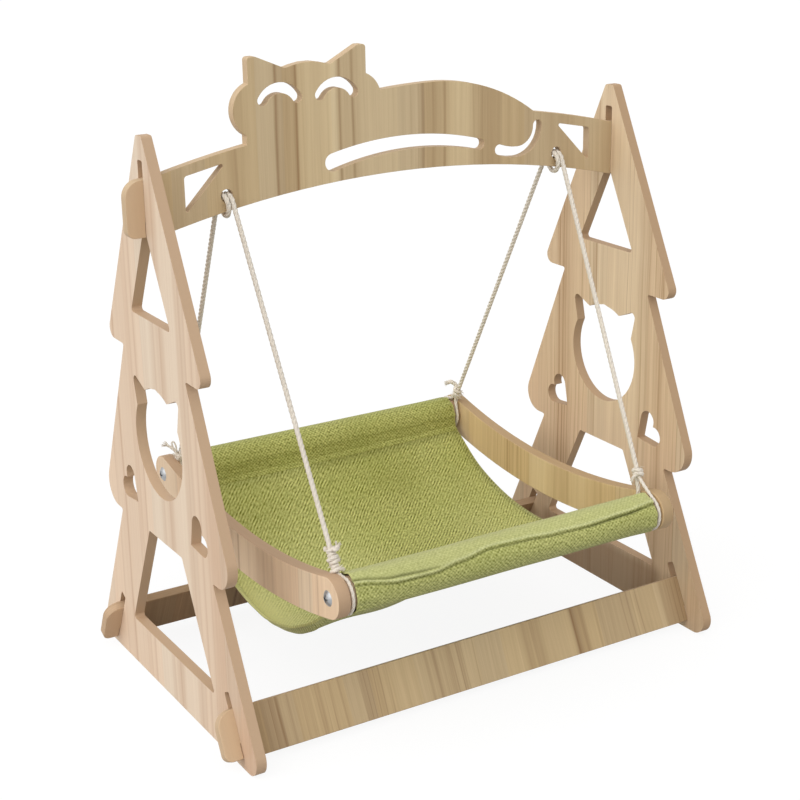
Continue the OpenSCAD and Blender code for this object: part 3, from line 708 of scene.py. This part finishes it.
# Each knot's rise in mm, turns, pitch, waist, and its ends as ((right, up) in mm, thickness, fray in mm)
KNOTS = {
    "front_left": dict(rise=1, turns=6.2, pitch=3.5, waist=0.28, ends=(
        (((0, 8), (3.5, 10), (4, 12.5)), 1.05, 4), (((0, -8), (4, -8.5), (7, -7.5)), 0.8, 3))),
    "front_right": dict(rise=9, turns=2.2, pitch=3.4, waist=0, ends=(
        (((0, -2), (-4, -4), (-6, -6.5)), 0.6, 2),)),
    "back_right": dict(rise=0, turns=3, pitch=4.2, waist=0.3, ends=(
        (((1, 6), (-3, 11), (-7, 13), (-11, 12)), 1.05, 3),)),
    "back_left": dict(rise=-5, turns=2, pitch=3.4, waist=0, ends=(
        (((-1, -5), (-4, 3), (-9, 8), (-13, 10.5)), 0.62, 6),
        (((-1, -5), (-4, 3), (-8, 11), (-7, 14), (-4.5, 11), (-3, 4)), 0.42, 0))),
}


def yarn(root, aim, size, thick, droop):
    """One loose yarn, thinner at its tip."""
    fall = np.array([0, 0, -droop * size])
    line = curve_through([root, root + 0.5 * size * aim, root + size * aim + fall], YARN_STEP)
    taper = np.linspace(thick, YARN_TIP * thick, len(line))[:, None]
    return sweep(line, np.tile(taper, (1, YARN_SIDES)))


def fray(end, direction, size, chance):
    """Loose yarns that splay from a rope's cut end."""
    yarns = []
    for _ in range(FRAY_YARNS):
        offset = np.array([chance.gauss(0, 1) for _ in range(3)])
        offset -= direction * np.dot(offset, direction)
        aim = unit(direction + FRAY_SPLAY * offset)
        root = end + MM * unit(offset) * chance.random() - FRAY_ROOT * direction
        length = chance.uniform(*FRAY_LENGTHS) * size + FRAY_ROOT
        yarns.append(yarn(root, aim, length, FRAY_R, FRAY_FALL))
    return yarns


def knot_wraps(plan, knot, aim, half, beside, side, chance):
    """Points of the wraps round the strand, from the dowel up."""
    points = []
    for turn in np.linspace(0, plan["turns"], int(plan["turns"] * WRAP_STEPS)):
        angle = math.tau * turn
        place = turn / plan["turns"]
        off = -beside * math.cos(angle) + ALONG_X * side * math.sin(angle)
        off = unit(off - aim * np.dot(off, aim))
        bulge = 1 + plan["waist"] * (math.cos(4 * math.pi * place) - WAIST_LEVEL)
        bulge += chance.gauss(0, WRAP_UNEVEN)
        points.append(knot + WRAP_R * bulge * off + aim * half * (2 * place - 1))
    return points


def loose_ends(plan, knot, chance):
    parts = []
    for places, thickness, frayed in plan["ends"]:
        line = [knot + MM * (right * ENDS_RIGHT + up * ENDS_UP + ENDS_OFF * ENDS_FRONT)
                for right, up in places]
        parts.append(twisted(curve_through(line, ROPE_STEP), (thickness,)))
        if frayed:
            parts += fray(line[-1], unit(line[-1] - line[-2]), frayed * MM, chance)
    return parts


def hairs(knot, aim, half, beside, chance):
    parts = []
    for _ in range(HAIRS):
        place = chance.uniform(-1, 1)
        angle = chance.uniform(0, math.tau)
        off = unit(beside * math.cos(angle) + ALONG_X * math.sin(angle))
        root = knot + aim * half * place + WRAP_R * off
        hair_aim = unit(off + aim * chance.gauss(0, HAIR_LEAN))
        parts.append(yarn(root, hair_aim, chance.uniform(*HAIR_LENGTHS), HAIR_R, HAIR_FALL))
    return parts


def knot_shape(end_name, side_name):
    """An eye of rope round the dowel, its wraps round the strand, and its loose ends."""
    side = -1 if side_name == "left" else 1
    end = -1 if end_name == "front" else 1
    chance = random.Random(end_name + side_name)
    plan = KNOTS[f"{end_name}_{side_name}"]
    dowel = dowel_point(side, end)
    aim = rope_aim(side, end)
    knot = knot_point(side, end) + plan["rise"] * MM * aim
    half = plan["turns"] * plan["pitch"] * MM / 2
    out = unit((knot - dowel) * np.array([0, 1, 1]))
    beside = np.cross(ALONG_X, out)
    slide = (knot[0] - dowel[0]) * ALONG_X
    foot = np.linalg.norm((knot - aim * half - dowel)[1:])

    def eye(reach, off, part=0):
        return dowel + out * reach + beside * off + slide * part

    ring = [eye(EYE_R * math.cos(angle), EYE_R * math.sin(angle))
            for angle in np.radians(np.linspace(EYE_OPEN, 360 - EYE_OPEN, EYE_STEPS))]
    wraps = knot_wraps(plan, knot, aim, half, beside, side, chance)
    leg = (foot + EYE_R * LEG_FOOT) / 2
    top = knot + aim * (half + STANDING_OVER)
    standing = [top, knot, knot - aim * half, eye(leg, LEG_OFF, LEG_SLIDE)]
    rows = [*standing, *ring, eye(leg, -LEG_OFF, LEG_SLIDE), *wraps]
    thick = np.full(len(rows), WRAP_THIN)
    thick[:2] = STANDING_THIN
    thick[len(standing) - 1:len(standing) + len(ring) + 1] = EYE_THIN
    parts = [twisted(curve_through(rows, ROPE_STEP), thick)]
    parts += loose_ends(plan, knot, chance)
    parts += hairs(knot, aim, half, beside, chance)
    return joined(parts)


def tie_ropes():
    material = cotton()
    for side, side_name in ((-1, "left"), (1, "right")):
        for end_name in ("front", "back"):
            name = f"{end_name}_{side_name}_knot"
            knot = make_piece(name + "_tied", knot_shape(end_name, side_name), "swing", material)
            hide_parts(name)
        line = rope_line(side)
        rope = make_piece(side_name + "_rope_twisted", twisted(line), "swing", material)
        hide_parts(side_name + "_rope")
        lengths(line)[-1]


# Sling: rows along the cloth and the zones that they lie in
SLEEVE_STEPS = 150
LEG_STEPS = 8
SEAT_STEPS = 110
FLANGE_STEPS = 5
COLUMNS = 100
HEM_COLUMNS = np.array([0, 0.7, 1.6, 2.6, 3.8, 5.2, 6.8, 8.4, 9.2, 10, 11.5, 14]) * MM
PLAIN, SLEEVE, SEAT = range(3)
STEEPEST = math.radians(65)
FLATTEST = math.radians(5)
HALVINGS = 50


def smooth_step(low, high, value):
    part = np.clip((value - low) / (high - low), 0, 1)
    return part * part * (3 - 2 * part)


def hump(value, width):
    """1 at 0, and less on either side by about this width."""
    return np.exp(-(value / width) ** 2)


def wave(values, terms):
    """A sum of slow waves: (size, waves per metre, phase)."""
    return sum(size * np.sin(math.tau * rate * values + phase) for size, rate, phase in terms)


def eased(value, stops):
    """A value read between (place, height) stops along smooth steps."""
    places, heights = np.array(stops, float).T
    steps = zip(places, places[1:], np.diff(heights))
    return heights[0] + sum(rise * smooth_step(a, b, value) for a, b, rise in steps)


def low_at(angle):
    """Lowest height of the seat where it meets its seams at this slope."""
    return (DOWEL_Z - SEAM_REACH * math.sin(angle)
            - math.tan(angle) * (DOWEL_Y - SEAM_REACH * math.cos(angle)) / 2)


def slope_for(low):
    """The slope at the seams that gives this lowest height, by halving."""
    steep, flat = STEEPEST, FLATTEST
    for _ in range(HALVINGS):
        angle = (steep + flat) / 2
        if low_at(angle) > low:
            flat = angle
        else:
            steep = angle
    return (steep + flat) / 2


def half_line(low):
    """The cloth from its back hem round the back sleeve to the seat's middle.

    Each row has Y, Z, outward Y, outward Z and its zone.
    """
    slope = slope_for(low)
    seam_y = DOWEL_Y - SEAM_REACH * math.cos(slope)
    curve = math.tan(slope) / (2 * seam_y)
    lean = math.acos(SLEEVE_R / SEAM_REACH)
    toward = math.pi + slope
    centre = np.array([DOWEL_Y, DOWEL_Z])

    def seat(y):
        down = unit(np.array([2 * curve * y, -1]))
        return np.array([y, low + curve * y * y]), down

    def straight(start, stop, angle):
        for part in np.linspace(0, 1, LEG_STEPS)[1:-1]:
            point = start + (stop - start) * part
            rows.append((*point, math.cos(angle), math.sin(angle), PLAIN))

    rows = []
    for part in np.linspace(0, 1, FLANGE_STEPS):
        point, down = seat(seam_y - FLANGE * math.cos(slope) * (1 - part))
        lift = (FLANGE_LIFT + part) * CLOTH_T
        rows.append((*(point - down * lift), *down, PLAIN))
    first = toward - lean + math.tau
    last = toward + lean
    top_tangent = centre + SLEEVE_R * np.array([math.cos(first), math.sin(first)])
    straight(np.array(rows[-1][:2]), top_tangent, first)
    for part in np.linspace(0, 1, SLEEVE_STEPS):
        angle = first + (last - first) * part
        aim = np.array([math.cos(angle), math.sin(angle)])
        rows.append((*(centre + SLEEVE_R * aim), *aim, SLEEVE))
    straight(np.array(rows[-1][:2]), seat(seam_y)[0], last)
    for y in np.linspace(seam_y, 0, SEAT_STEPS // 2 + 1):
        point, down = seat(y)
        rows.append((*point, *down, SEAT))
    return np.array(rows)


def cloth_marks():
    """Lengths along the cloth from its back hem to the back seam and to the seat's middle."""
    rows = half_line((LOW_LEFT + LOW_RIGHT) / 2)
    along = lengths(rows[:, :2])
    return along[np.argmax(rows[:, 4] == SEAT)], along[-1]


BACK_SEAM, SEAT_MIDDLE = cloth_marks()
HALF_SEAT = SEAT_MIDDLE - BACK_SEAM


def sling_grid():
    """Points, outward directions and zones of the smooth cloth, in rows from its back hem on."""
    left = -SLING_HALF + HEM_COLUMNS
    inner = np.linspace(left[-1], -left[-1], COLUMNS)[1:-1]
    columns = np.concatenate([left, inner, -left[::-1]])
    grid = []
    for x in columns:
        part = (x + SLING_HALF) / (2 * SLING_HALF)
        back = half_line(LOW_LEFT + (LOW_RIGHT - LOW_LEFT) * part)
        front = back[-2::-1] * (-1, 1, -1, 1, 1)
        grid.append(np.vstack([back, front]))
    grid = np.stack(grid, axis=1)
    x = np.tile(columns, (len(grid), 1))
    points = np.dstack([x, grid[..., 0], grid[..., 1]])
    outward = np.dstack([np.zeros_like(x), grid[..., 2], grid[..., 3]])
    return points, outward, grid[..., 4]


# Seat: its folds, as (size, waves per metre, phase), and its belly
CROSS_FOLDS = ((0.35 * MM, 19, 0.4), (0.2 * MM, 33, 1.9))
CROSS_SLANT = 0.06
CROSS_AT = -150 * MM
CROSS_WIDTH = 90 * MM
LONG_FOLDS = ((1.4 * MM, 7, 0.3), (0.7 * MM, 12, 2.2))
LONG_SLANT = -0.3
FOLD_REACH = (105 * MM, 150 * MM)
BELLY = 9 * MM
BELLY_HEM = 9 * MM
BELLY_SPAN = (-100 * MM, 60 * MM)
BELLY_REACH = (80 * MM, 150 * MM)
DROOP = 2.5 * MM
DROOP_HEM = 8 * MM
DROOP_POWER = 1.5


def seat_drop(x, y, edge, folded):
    """How far the seat lies below its smooth shape. Its left hem is tighter than the belly behind it."""
    fold = wave(y + CROSS_SLANT * x, CROSS_FOLDS) * hump(x - CROSS_AT, CROSS_WIDTH)
    fold += wave(x + LONG_SLANT * y, LONG_FOLDS)
    belly = BELLY * smooth_step(0, BELLY_HEM, x + SLING_HALF) * (1 - smooth_step(*BELLY_SPAN, x))
    belly = belly * (1 - smooth_step(*BELLY_REACH, np.abs(y)))
    droop = np.where(x < 0, 0, DROOP) * (1 - smooth_step(0, DROOP_HEM, edge)) ** DROOP_POWER
    return belly + (droop - fold) * folded


# Front sleeve: its long crease and a short tuck at its left, as (place across in mm, degrees up)
CREASE = ((-163, 44), (-117, 21), (-84, 20), (-57, 32), (-22, 47), (10, 44), (45, 37), (81, 35), (126, 41),
          (163, 50))
TUCK = ((-163, 57), (-124, 36), (-93, 31), (-66, 28))
TUCK_END = (-95, -66)
CREASE_WIDTH = 1.1 * MM
CREASE_OFF = 1 * MM
LIP_WIDTH = 1.3 * MM
LIP_OFF = 1.6 * MM
LAYER_SIZE = 0.9 * MM
GROOVE_DEPTH = 1.9 * MM
GROOVE_LEAST = 0.7
GROOVE_MORE = 0.5
GROOVE_DEEPER = (60, 120)
GROOVE_END = (140, 163)
GROOVE_PAINTED_SHADE = 1.2
TUCK_DEPTH = 1.6 * MM
LAYER_RISE = (-0.6 * MM, 0.8 * MM)
LAYER_FALL = (10 * MM, 26 * MM)
SMOOTH_RISE = (0, 4 * MM)
PUCKER_PITCH = 17 * MM
PUCKER_SIZE = 0.25
PUCKER_DRIFT = 2
PUCKER_RATE = 40
RIPPLES = ((0.3 * MM, 3, 9), (0.12 * MM, 7, 55))
PINCH = 0.6 * MM
PINCH_REACH = 30 * MM
PINCH_ROUNDS = 9
PINCH_PHASE = 5
PINCH_RATE = 70
FRONT_LOOSE = 1.5 * MM
BACK_LOOSE = 1 * MM
LEAST_LOOSE = 0.1 * MM


def sleeve_shape(points, edge):
    """How far the sleeves stand off the dowels with the front one's crease, the crease's painted shade and
    highlight, and the smooth upper part.
    """
    x, y = points[..., 0], points[..., 1]
    across_mm = x / MM
    angle = np.arctan2(points[..., 2] - DOWEL_Z, np.abs(y) - DOWEL_Y)
    past = (angle - np.radians(eased(across_mm, CREASE))) * SLEEVE_R
    past_tuck = (angle - np.radians(eased(across_mm, TUCK))) * SLEEVE_R
    layer = smooth_step(*LAYER_RISE, past) * (1 - smooth_step(*LAYER_FALL, past))
    drift = PUCKER_DRIFT * np.sin(PUCKER_RATE * x)
    pucker = 1 + PUCKER_SIZE * np.sin(math.tau * x / PUCKER_PITCH + drift)
    depth = smooth_step(*GROOVE_DEEPER, across_mm) * (1 - smooth_step(*GROOVE_END, across_mm))
    depth = GROOVE_LEAST + GROOVE_MORE * depth
    groove = depth * hump(past + CREASE_OFF, CREASE_WIDTH)
    tuck = hump(past_tuck, CREASE_WIDTH) * (1 - smooth_step(*TUCK_END, across_mm))
    loose = FRONT_LOOSE + LAYER_SIZE * layer * pucker - GROOVE_DEPTH * groove - TUCK_DEPTH * tuck
    loose += sum(size * np.sin(rounds * angle + rate * x) for size, rounds, rate in RIPPLES)
    pinch = PINCH * np.cos(PINCH_ROUNDS * angle + PINCH_PHASE + PINCH_RATE * x)
    pinch *= smooth_step(PINCH_REACH, 0, edge)
    fullness = np.maximum(np.where(y < 0, loose, BACK_LOOSE) + pinch, LEAST_LOOSE)
    # Painted highlight on the crease's lip, painted shade in its groove and tuck
    crease = hump(past - LIP_OFF, LIP_WIDTH) - GROOVE_PAINTED_SHADE * groove - tuck
    return fullness, crease, smooth_step(*SMOOTH_RISE, past)


# Hems: the fold at the sides and the dip of its stitching
HEM_FULL = 0.9
HEM_EDGE = (7.5 * MM, 9.5 * MM)
STITCH_DIP = 0.45 * MM
STITCH_WIDTH = 0.9 * MM


def two_sided(inner, outer):
    """Points and faces of a closed sheet with these two sides."""
    size = inner[..., 0].size
    places = np.arange(size).reshape(inner.shape[:2])
    faces = []
    for a, b in zip(places[:-1, :-1].ravel().tolist(), places[1:, :-1].ravel().tolist()):
        faces.append((a, a + 1, b + 1, b))
        faces.append((size + b, size + b + 1, size + a + 1, size + a))
    sides = (places[0], places[1:, -1], places[-1, -2::-1], places[-2:0:-1, 0])
    border = np.concatenate(sides).tolist()
    for a, b in zip(border, border[1:] + border[:1]):
        faces.append((b, a, size + a, size + b))
    return np.vstack([inner.reshape(-1, 3), outer.reshape(-1, 3)]), faces


def sling_shape():
    """The sling's mesh, and its marks: the crease's painted shade and highlight, and how smooth the cloth is
    at each point.
    """
    points, outward, zones = sling_grid()
    x, y = points[..., 0], points[..., 1].copy()
    edge = SLING_HALF - np.abs(x)
    seat = zones == SEAT
    sleeve = zones == SLEEVE
    folded = np.where(seat, 1 - smooth_step(*FOLD_REACH, np.abs(y)), 0)
    points[..., 2] -= np.where(seat, seat_drop(x, y, edge, folded), 0)
    fullness, crease, smooth = sleeve_shape(points, edge)
    points += outward * np.where(sleeve, fullness, 0)[..., None]
    on_hem = (1 - smooth_step(*HEM_EDGE, edge)) * folded
    dip = STITCH_DIP * hump(edge - HEM, STITCH_WIDTH) * folded
    inner = points - outward * (CLOTH_T / 2 - dip)[..., None]
    outer = points + outward * (CLOTH_T * (1 + HEM_FULL * on_hem) - CLOTH_T / 2)[..., None]
    count = points.shape[1]
    down = lengths(points[:, count // 2])
    places = np.dstack([x, np.tile(down[:, None], (1, count))]).reshape(-1, 2)
    both, faces = two_sided(inner, outer)
    front = sleeve & (y < 0)
    crease, smooth = [np.tile(np.where(front, values, 0).ravel(), 2) for values in (crease, smooth)]
    return (both, faces, np.tile(places, (2, 1))), {"crease": crease, "smooth": smooth}


# Weave: noise across and along the cloth, or over and along its diagonal ribs
RUFFLE = Speckle(70, 70)
SLUB = Speckle(520, 270, seed=4)
BROKEN = Speckle(150, 90, seed=16)
KNOP = Speckle(330, 460, seed=6)
FUZZ = Speckle(1400, 1400, seed=8)
DIAGONAL = 0.7071
RIB_PITCH = 3.05 * MM
RIB_RUFFLE = 4.5
RIB_SIZE = (1.1, -0.34)
SLUB_SIZE = 1.4
GRID_PITCH = 3.9 * MM
GRID_RUFFLE = 5
GRID_SIZE = 0.22
GRID_SMOOTHED = (-0.6, 1)
KNOP_SIZE = 1.3
FUZZ_SIZE = 0.5
WEAVE_LEVEL = 0.25
SEAM_BLEND = 3 * MM

# The calm cloth at the left hem's lowest part, and its height
CALM_FROM = (-118 * MM, -150 * MM)
CALM_SHARE = 0.85
CALM_REACH = 130 * MM
CALM_LEVEL = 0.5

# Dark and pale greens of the seat, of its painted light and of the front sleeve's painted highlight, then the
# painted shade and rim highlight greens
SEAT_GREENS = (srgb(84, 90, 8), srgb(226, 225, 140))
PAINTED_LIGHT_GREENS = (srgb(136, 141, 50), srgb(239, 239, 166))
SLEEVE_HIGHLIGHT_GREENS = (srgb(121, 125, 40), srgb(235, 236, 174))
SLEEVE_HIGHLIGHT_SHARE = (0.5, 0.3)
PAINTED_SHADE_GREEN = srgb(58, 60, 12)
RIM_HIGHLIGHT_GREEN = srgb(206, 204, 130)

# Patches: their noise, its size and shift, and their share of a green
PATCHES = ((Speckle(14, 14, seed=2), 1.4, -0.5, 0.4, srgb(140, 154, 50)),
           (Speckle(9, 7, seed=12), 2.4, -0.85, 0.34, srgb(118, 118, 36)))

# Painted shade green of the crease's groove and painted highlight green of its lip, and their shares
CREASE_PAINTED_SHADE_AND_HIGHLIGHT = ((-0.6, srgb(52, 56, 12)), (0.35, srgb(226, 228, 180)))

# Where the seat gets painted light, across it and along it from its middle
PAINTED_LIGHT_LEFT = (20 * MM, -60 * MM)
PAINTED_LIGHT_RIGHT = (60 * MM, 110 * MM)
PAINTED_LIGHT_BACK = (130 * MM, 30 * MM)
PAINTED_LIGHT_RIGHT_SHARE = 0.4
PAINTED_LIGHT_BACK_SHARE = 0.2

# Painted shade: the fold under the back seam, the seams, the side hems and their stitching
FOLD_ACROSS = (-120 * MM, 80 * MM)
FOLD_PAINTED_SHADE = (0.3, 0.6)
FOLD_OFF = 3 * MM
FOLD_WIDTH = 30 * MM
SEAM_PAINTED_SHADE = 0.25
SEAM_WIDTH = 2.5 * MM
HEM_PAINTED_SHADE = 0.1
STITCH_PITCH = 5 * MM
STITCH_IN = 1.2 * MM
STITCH_HALF = 0.8 * MM
STITCH_PAINTED_SHADE = 0.3
STITCH_LEVEL = -0.5
# Painted highlight along the cloth's rim: its width and share
RIM_HIGHLIGHT_WIDTH = 2.2 * MM
RIM_HIGHLIGHT_SHARE = 0.4


def weave(net, u, v, on_sleeve, smooth, fuzz):
    """Height of the weave: broken diagonal ribs on the seat and a slubby grid on the sleeves."""
    ruffle = net.speckle(RUFFLE, u, v)
    over = net.times(net.plus(u, v), DIAGONAL)
    along = net.times(net.math("SUBTRACT", u, v), DIAGONAL)
    rib_size = net.scaled(net.speckle(BROKEN, over, along), *RIB_SIZE)
    slub = net.centred(net.speckle(SLUB, over, along), SLUB_SIZE)
    rib = net.scaled(net.ripple(over, RIB_PITCH, ruffle, RIB_RUFFLE), rib_size, slub)
    checks = net.times(net.ripple(u, GRID_PITCH, ruffle, GRID_RUFFLE),
                       net.ripple(v, GRID_PITCH, ruffle, GRID_RUFFLE))
    grid = net.scaled(checks, GRID_SIZE, net.centred(net.speckle(KNOP, u, v), KNOP_SIZE))
    grid = net.times(grid, net.scaled(smooth, *GRID_SMOOTHED))
    height = net.between(on_sleeve, rib, grid)
    calm = net.times(net.fit(u, *CALM_FROM, 0, CALM_SHARE), net.near(v, SEAT_MIDDLE, CALM_REACH))
    height = net.between(calm, height, CALM_LEVEL)
    return net.scaled(fuzz, FUZZ_SIZE, net.plus(height, WEAVE_LEVEL))


def dyed(net, u, v, on_sleeve, on_seat, smooth, height):
    """The cloth's colour before its painted shade, with patches, painted light on the seat and a painted
    highlight on the front sleeve.
    """
    level = net.plus(height, 0.0, clamp=True)
    colour = net.blend(level, *SEAT_GREENS)
    for kind, size, shift, share, green in PATCHES:
        patch = net.scaled(net.speckle(kind, u, v), size, shift, clamp=True)
        colour = net.blend(patch, colour, net.blend(share, colour, green))
    # Painted light on the seat: on its left part and right of its middle, weaker towards the back seam
    leftward = net.fit(u, *PAINTED_LIGHT_LEFT, soft=True)
    rightward = net.fit(u, *PAINTED_LIGHT_RIGHT, 0, PAINTED_LIGHT_RIGHT_SHARE)
    start, stop = [SEAT_MIDDLE - back for back in PAINTED_LIGHT_BACK]
    forward = net.fit(v, start, stop, PAINTED_LIGHT_BACK_SHARE, 1)
    painted_light = net.times(net.math("MAXIMUM", leftward, rightward), forward)
    painted_light = net.times(painted_light, on_seat)
    colour = net.blend(painted_light, colour, net.blend(level, *PAINTED_LIGHT_GREENS))
    # Painted highlight on the front sleeve, most on its smooth upper part
    sleeve_highlight = net.times(on_sleeve, net.math("GREATER_THAN", v, SEAT_MIDDLE))
    sleeve_highlight = net.times(sleeve_highlight, net.scaled(smooth, *SLEEVE_HIGHLIGHT_SHARE))
    return net.blend(sleeve_highlight, colour, net.blend(level, *SLEEVE_HIGHLIGHT_GREENS))


def painted_cloth_shade(net, u, v, edge, on_seat, from_middle):
    """How much painted shade the cloth gets under the back seam, along the seams and on the side hems."""
    on_hem = net.fit(edge, HEM - MM, HEM, HEM_PAINTED_SHADE, 0)
    dash = net.math("GREATER_THAN", net.ripple(v, STITCH_PITCH, 0, 0), STITCH_LEVEL)
    stitch = net.times(net.near(edge, HEM - STITCH_IN, STITCH_HALF, STITCH_PAINTED_SHADE), dash)
    side = net.times(net.plus(on_hem, stitch), on_seat)
    fold = net.near(v, BACK_SEAM - FOLD_OFF, FOLD_WIDTH)
    fold = net.times(fold, net.fit(u, *FOLD_ACROSS, *FOLD_PAINTED_SHADE))
    line = net.near(from_middle, HALF_SEAT, SEAM_WIDTH, SEAM_PAINTED_SHADE)
    return net.plus(side, net.plus(fold, line), clamp=True)


def twill():
    """Rough cotton twill. u is across the cloth and v along it from its back hem, in metres."""
    material, net, shader = new_material("green_twill")
    u, v = net.places()
    from_middle = net.math("ABSOLUTE", net.math("SUBTRACT", v, SEAT_MIDDLE))
    on_sleeve = net.fit(from_middle, HALF_SEAT - SEAM_BLEND, HALF_SEAT + SEAM_BLEND)
    on_seat = net.math("SUBTRACT", 1, on_sleeve)
    smooth = net.attribute("smooth")
    fuzz = net.speckle(FUZZ, u, v)
    height = weave(net, u, v, on_sleeve, smooth, fuzz)
    colour = dyed(net, u, v, on_sleeve, on_seat, smooth, height)
    edge = net.math("SUBTRACT", SLING_HALF, net.math("ABSOLUTE", u))
    # Painted shade under the back seam, along the seams and on the side hems
    colour = net.blend(painted_cloth_shade(net, u, v, edge, on_seat, from_middle), colour, PAINTED_SHADE_GREEN)
    # Painted highlight along the cloth's rim
    colour = net.blend(net.near(edge, 0, RIM_HIGHLIGHT_WIDTH, RIM_HIGHLIGHT_SHARE), colour, RIM_HIGHLIGHT_GREEN)
    # Painted shade in the crease's groove and painted highlight on its lip
    crease = net.attribute("crease")
    for share, green in CREASE_PAINTED_SHADE_AND_HIGHLIGHT:
        colour = net.blend(net.times(crease, share, clamp=True), colour, green)
    net.fill(shader, {
        "Base Color": colour,
        "Roughness": net.scaled(fuzz, 0.1, 0.85),
        "Normal": net.bump(height, 0.8, 0.7 * MM),
        "Sheen Weight": 0.15,
        "Specular IOR Level": 0.1})
    return material


def hang_sling():
    shape, marks = sling_shape()
    sling = make_piece("sling_cloth", shape, "swing", twill())
    for name, values in marks.items():
        sling.data.attributes.new(name, "FLOAT", "POINT").data.foreach_set("value", values)
    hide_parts("sling")


# Floor, light and camera
def see_white(net):
    """1 for rays straight from the camera, or by way of metal and glass."""
    path = net.put("LightPath").outputs
    seen = net.math("MAXIMUM", path["Is Camera Ray"], path["Is Glossy Ray"])
    return net.math("MAXIMUM", seen, path["Is Transmission Ray"])


def lay_floor(half=15, shade=0.12, glow=0.9, bounce=0.42):
    """A white floor that shows weak shadows and throws soft light up at the object."""
    corners = [(-half, -half, 0), (half, -half, 0), (half, half, 0), (-half, half, 0)]
    mesh = bpy.data.meshes.new("floor")
    mesh.from_pydata(corners, [], [(0, 1, 2, 3)])
    floor = bpy.data.objects.new("floor", mesh)
    scene.collection.objects.link(floor)
    material, net, shader = new_material("floor_white")
    seen = see_white(net)
    net.fill(shader, {
        "Base Color": net.blend(seen, (bounce, bounce, bounce, 1.0), (shade, shade, shade, 1.0)),
        "Emission Strength": net.times(seen, glow),
        "Emission Color": WHITE,
        "Roughness": 1.0,
        "Specular IOR Level": 0.0})
    mesh.materials.append(material)


def light_world(ambient=0.57):
    world = scene.world = bpy.data.worlds.new("studio")
    world.use_nodes = True
    net = Net(world.node_tree)
    strength = net.scaled(see_white(net), 1 - ambient, ambient)
    net.fill(world.node_tree.nodes["Background"], {"Color": WHITE, "Strength": strength})


def soft_sun(name, towards, strength, degrees):
    data = bpy.data.lights.new(name, "SUN")
    data.energy = strength
    data.angle = math.radians(degrees)
    lamp = bpy.data.objects.new(name, data)
    lamp.rotation_euler = Vector(towards).to_track_quat("Z", "Y").to_euler()
    scene.collection.objects.link(lamp)


def place_camera(azimuth=-30.856, elevation=18.686, roll=-1, distance=1.597937, lens=73.933,
                 target=(-0.002541, 0, 0.251339)):
    """The camera, fitted to the photograph's view. Its angles are in degrees."""
    turn, rise, roll = [math.radians(angle) for angle in (azimuth, elevation, roll)]
    level = math.cos(rise)
    back = np.array([math.sin(turn) * level, -math.cos(turn) * level, math.sin(rise)])
    right = unit(np.cross(UP, back))
    up = np.cross(back, right)
    rolled_right = math.cos(roll) * right + math.sin(roll) * up
    rolled_up = math.cos(roll) * up - math.sin(roll) * right
    data = bpy.data.cameras.new("camera")
    data.lens = lens
    camera = bpy.data.objects.new("camera", data)
    matrix = np.eye(4)
    matrix[:3] = np.stack([rolled_right, rolled_up, back, target + distance * back], axis=1)
    camera.matrix_world = Matrix(matrix)
    scene.collection.objects.link(camera)
    scene.camera = camera


place_camera()
lay_floor()
light_world()
soft_sun("key", (-0.78, -0.08, 0.62), 1.8, 80)
soft_sun("fill", (0.1, -0.85, 0.5), 0.7, 80)
tie_ropes()
hang_sling()
dress_boards()
dress_screws()
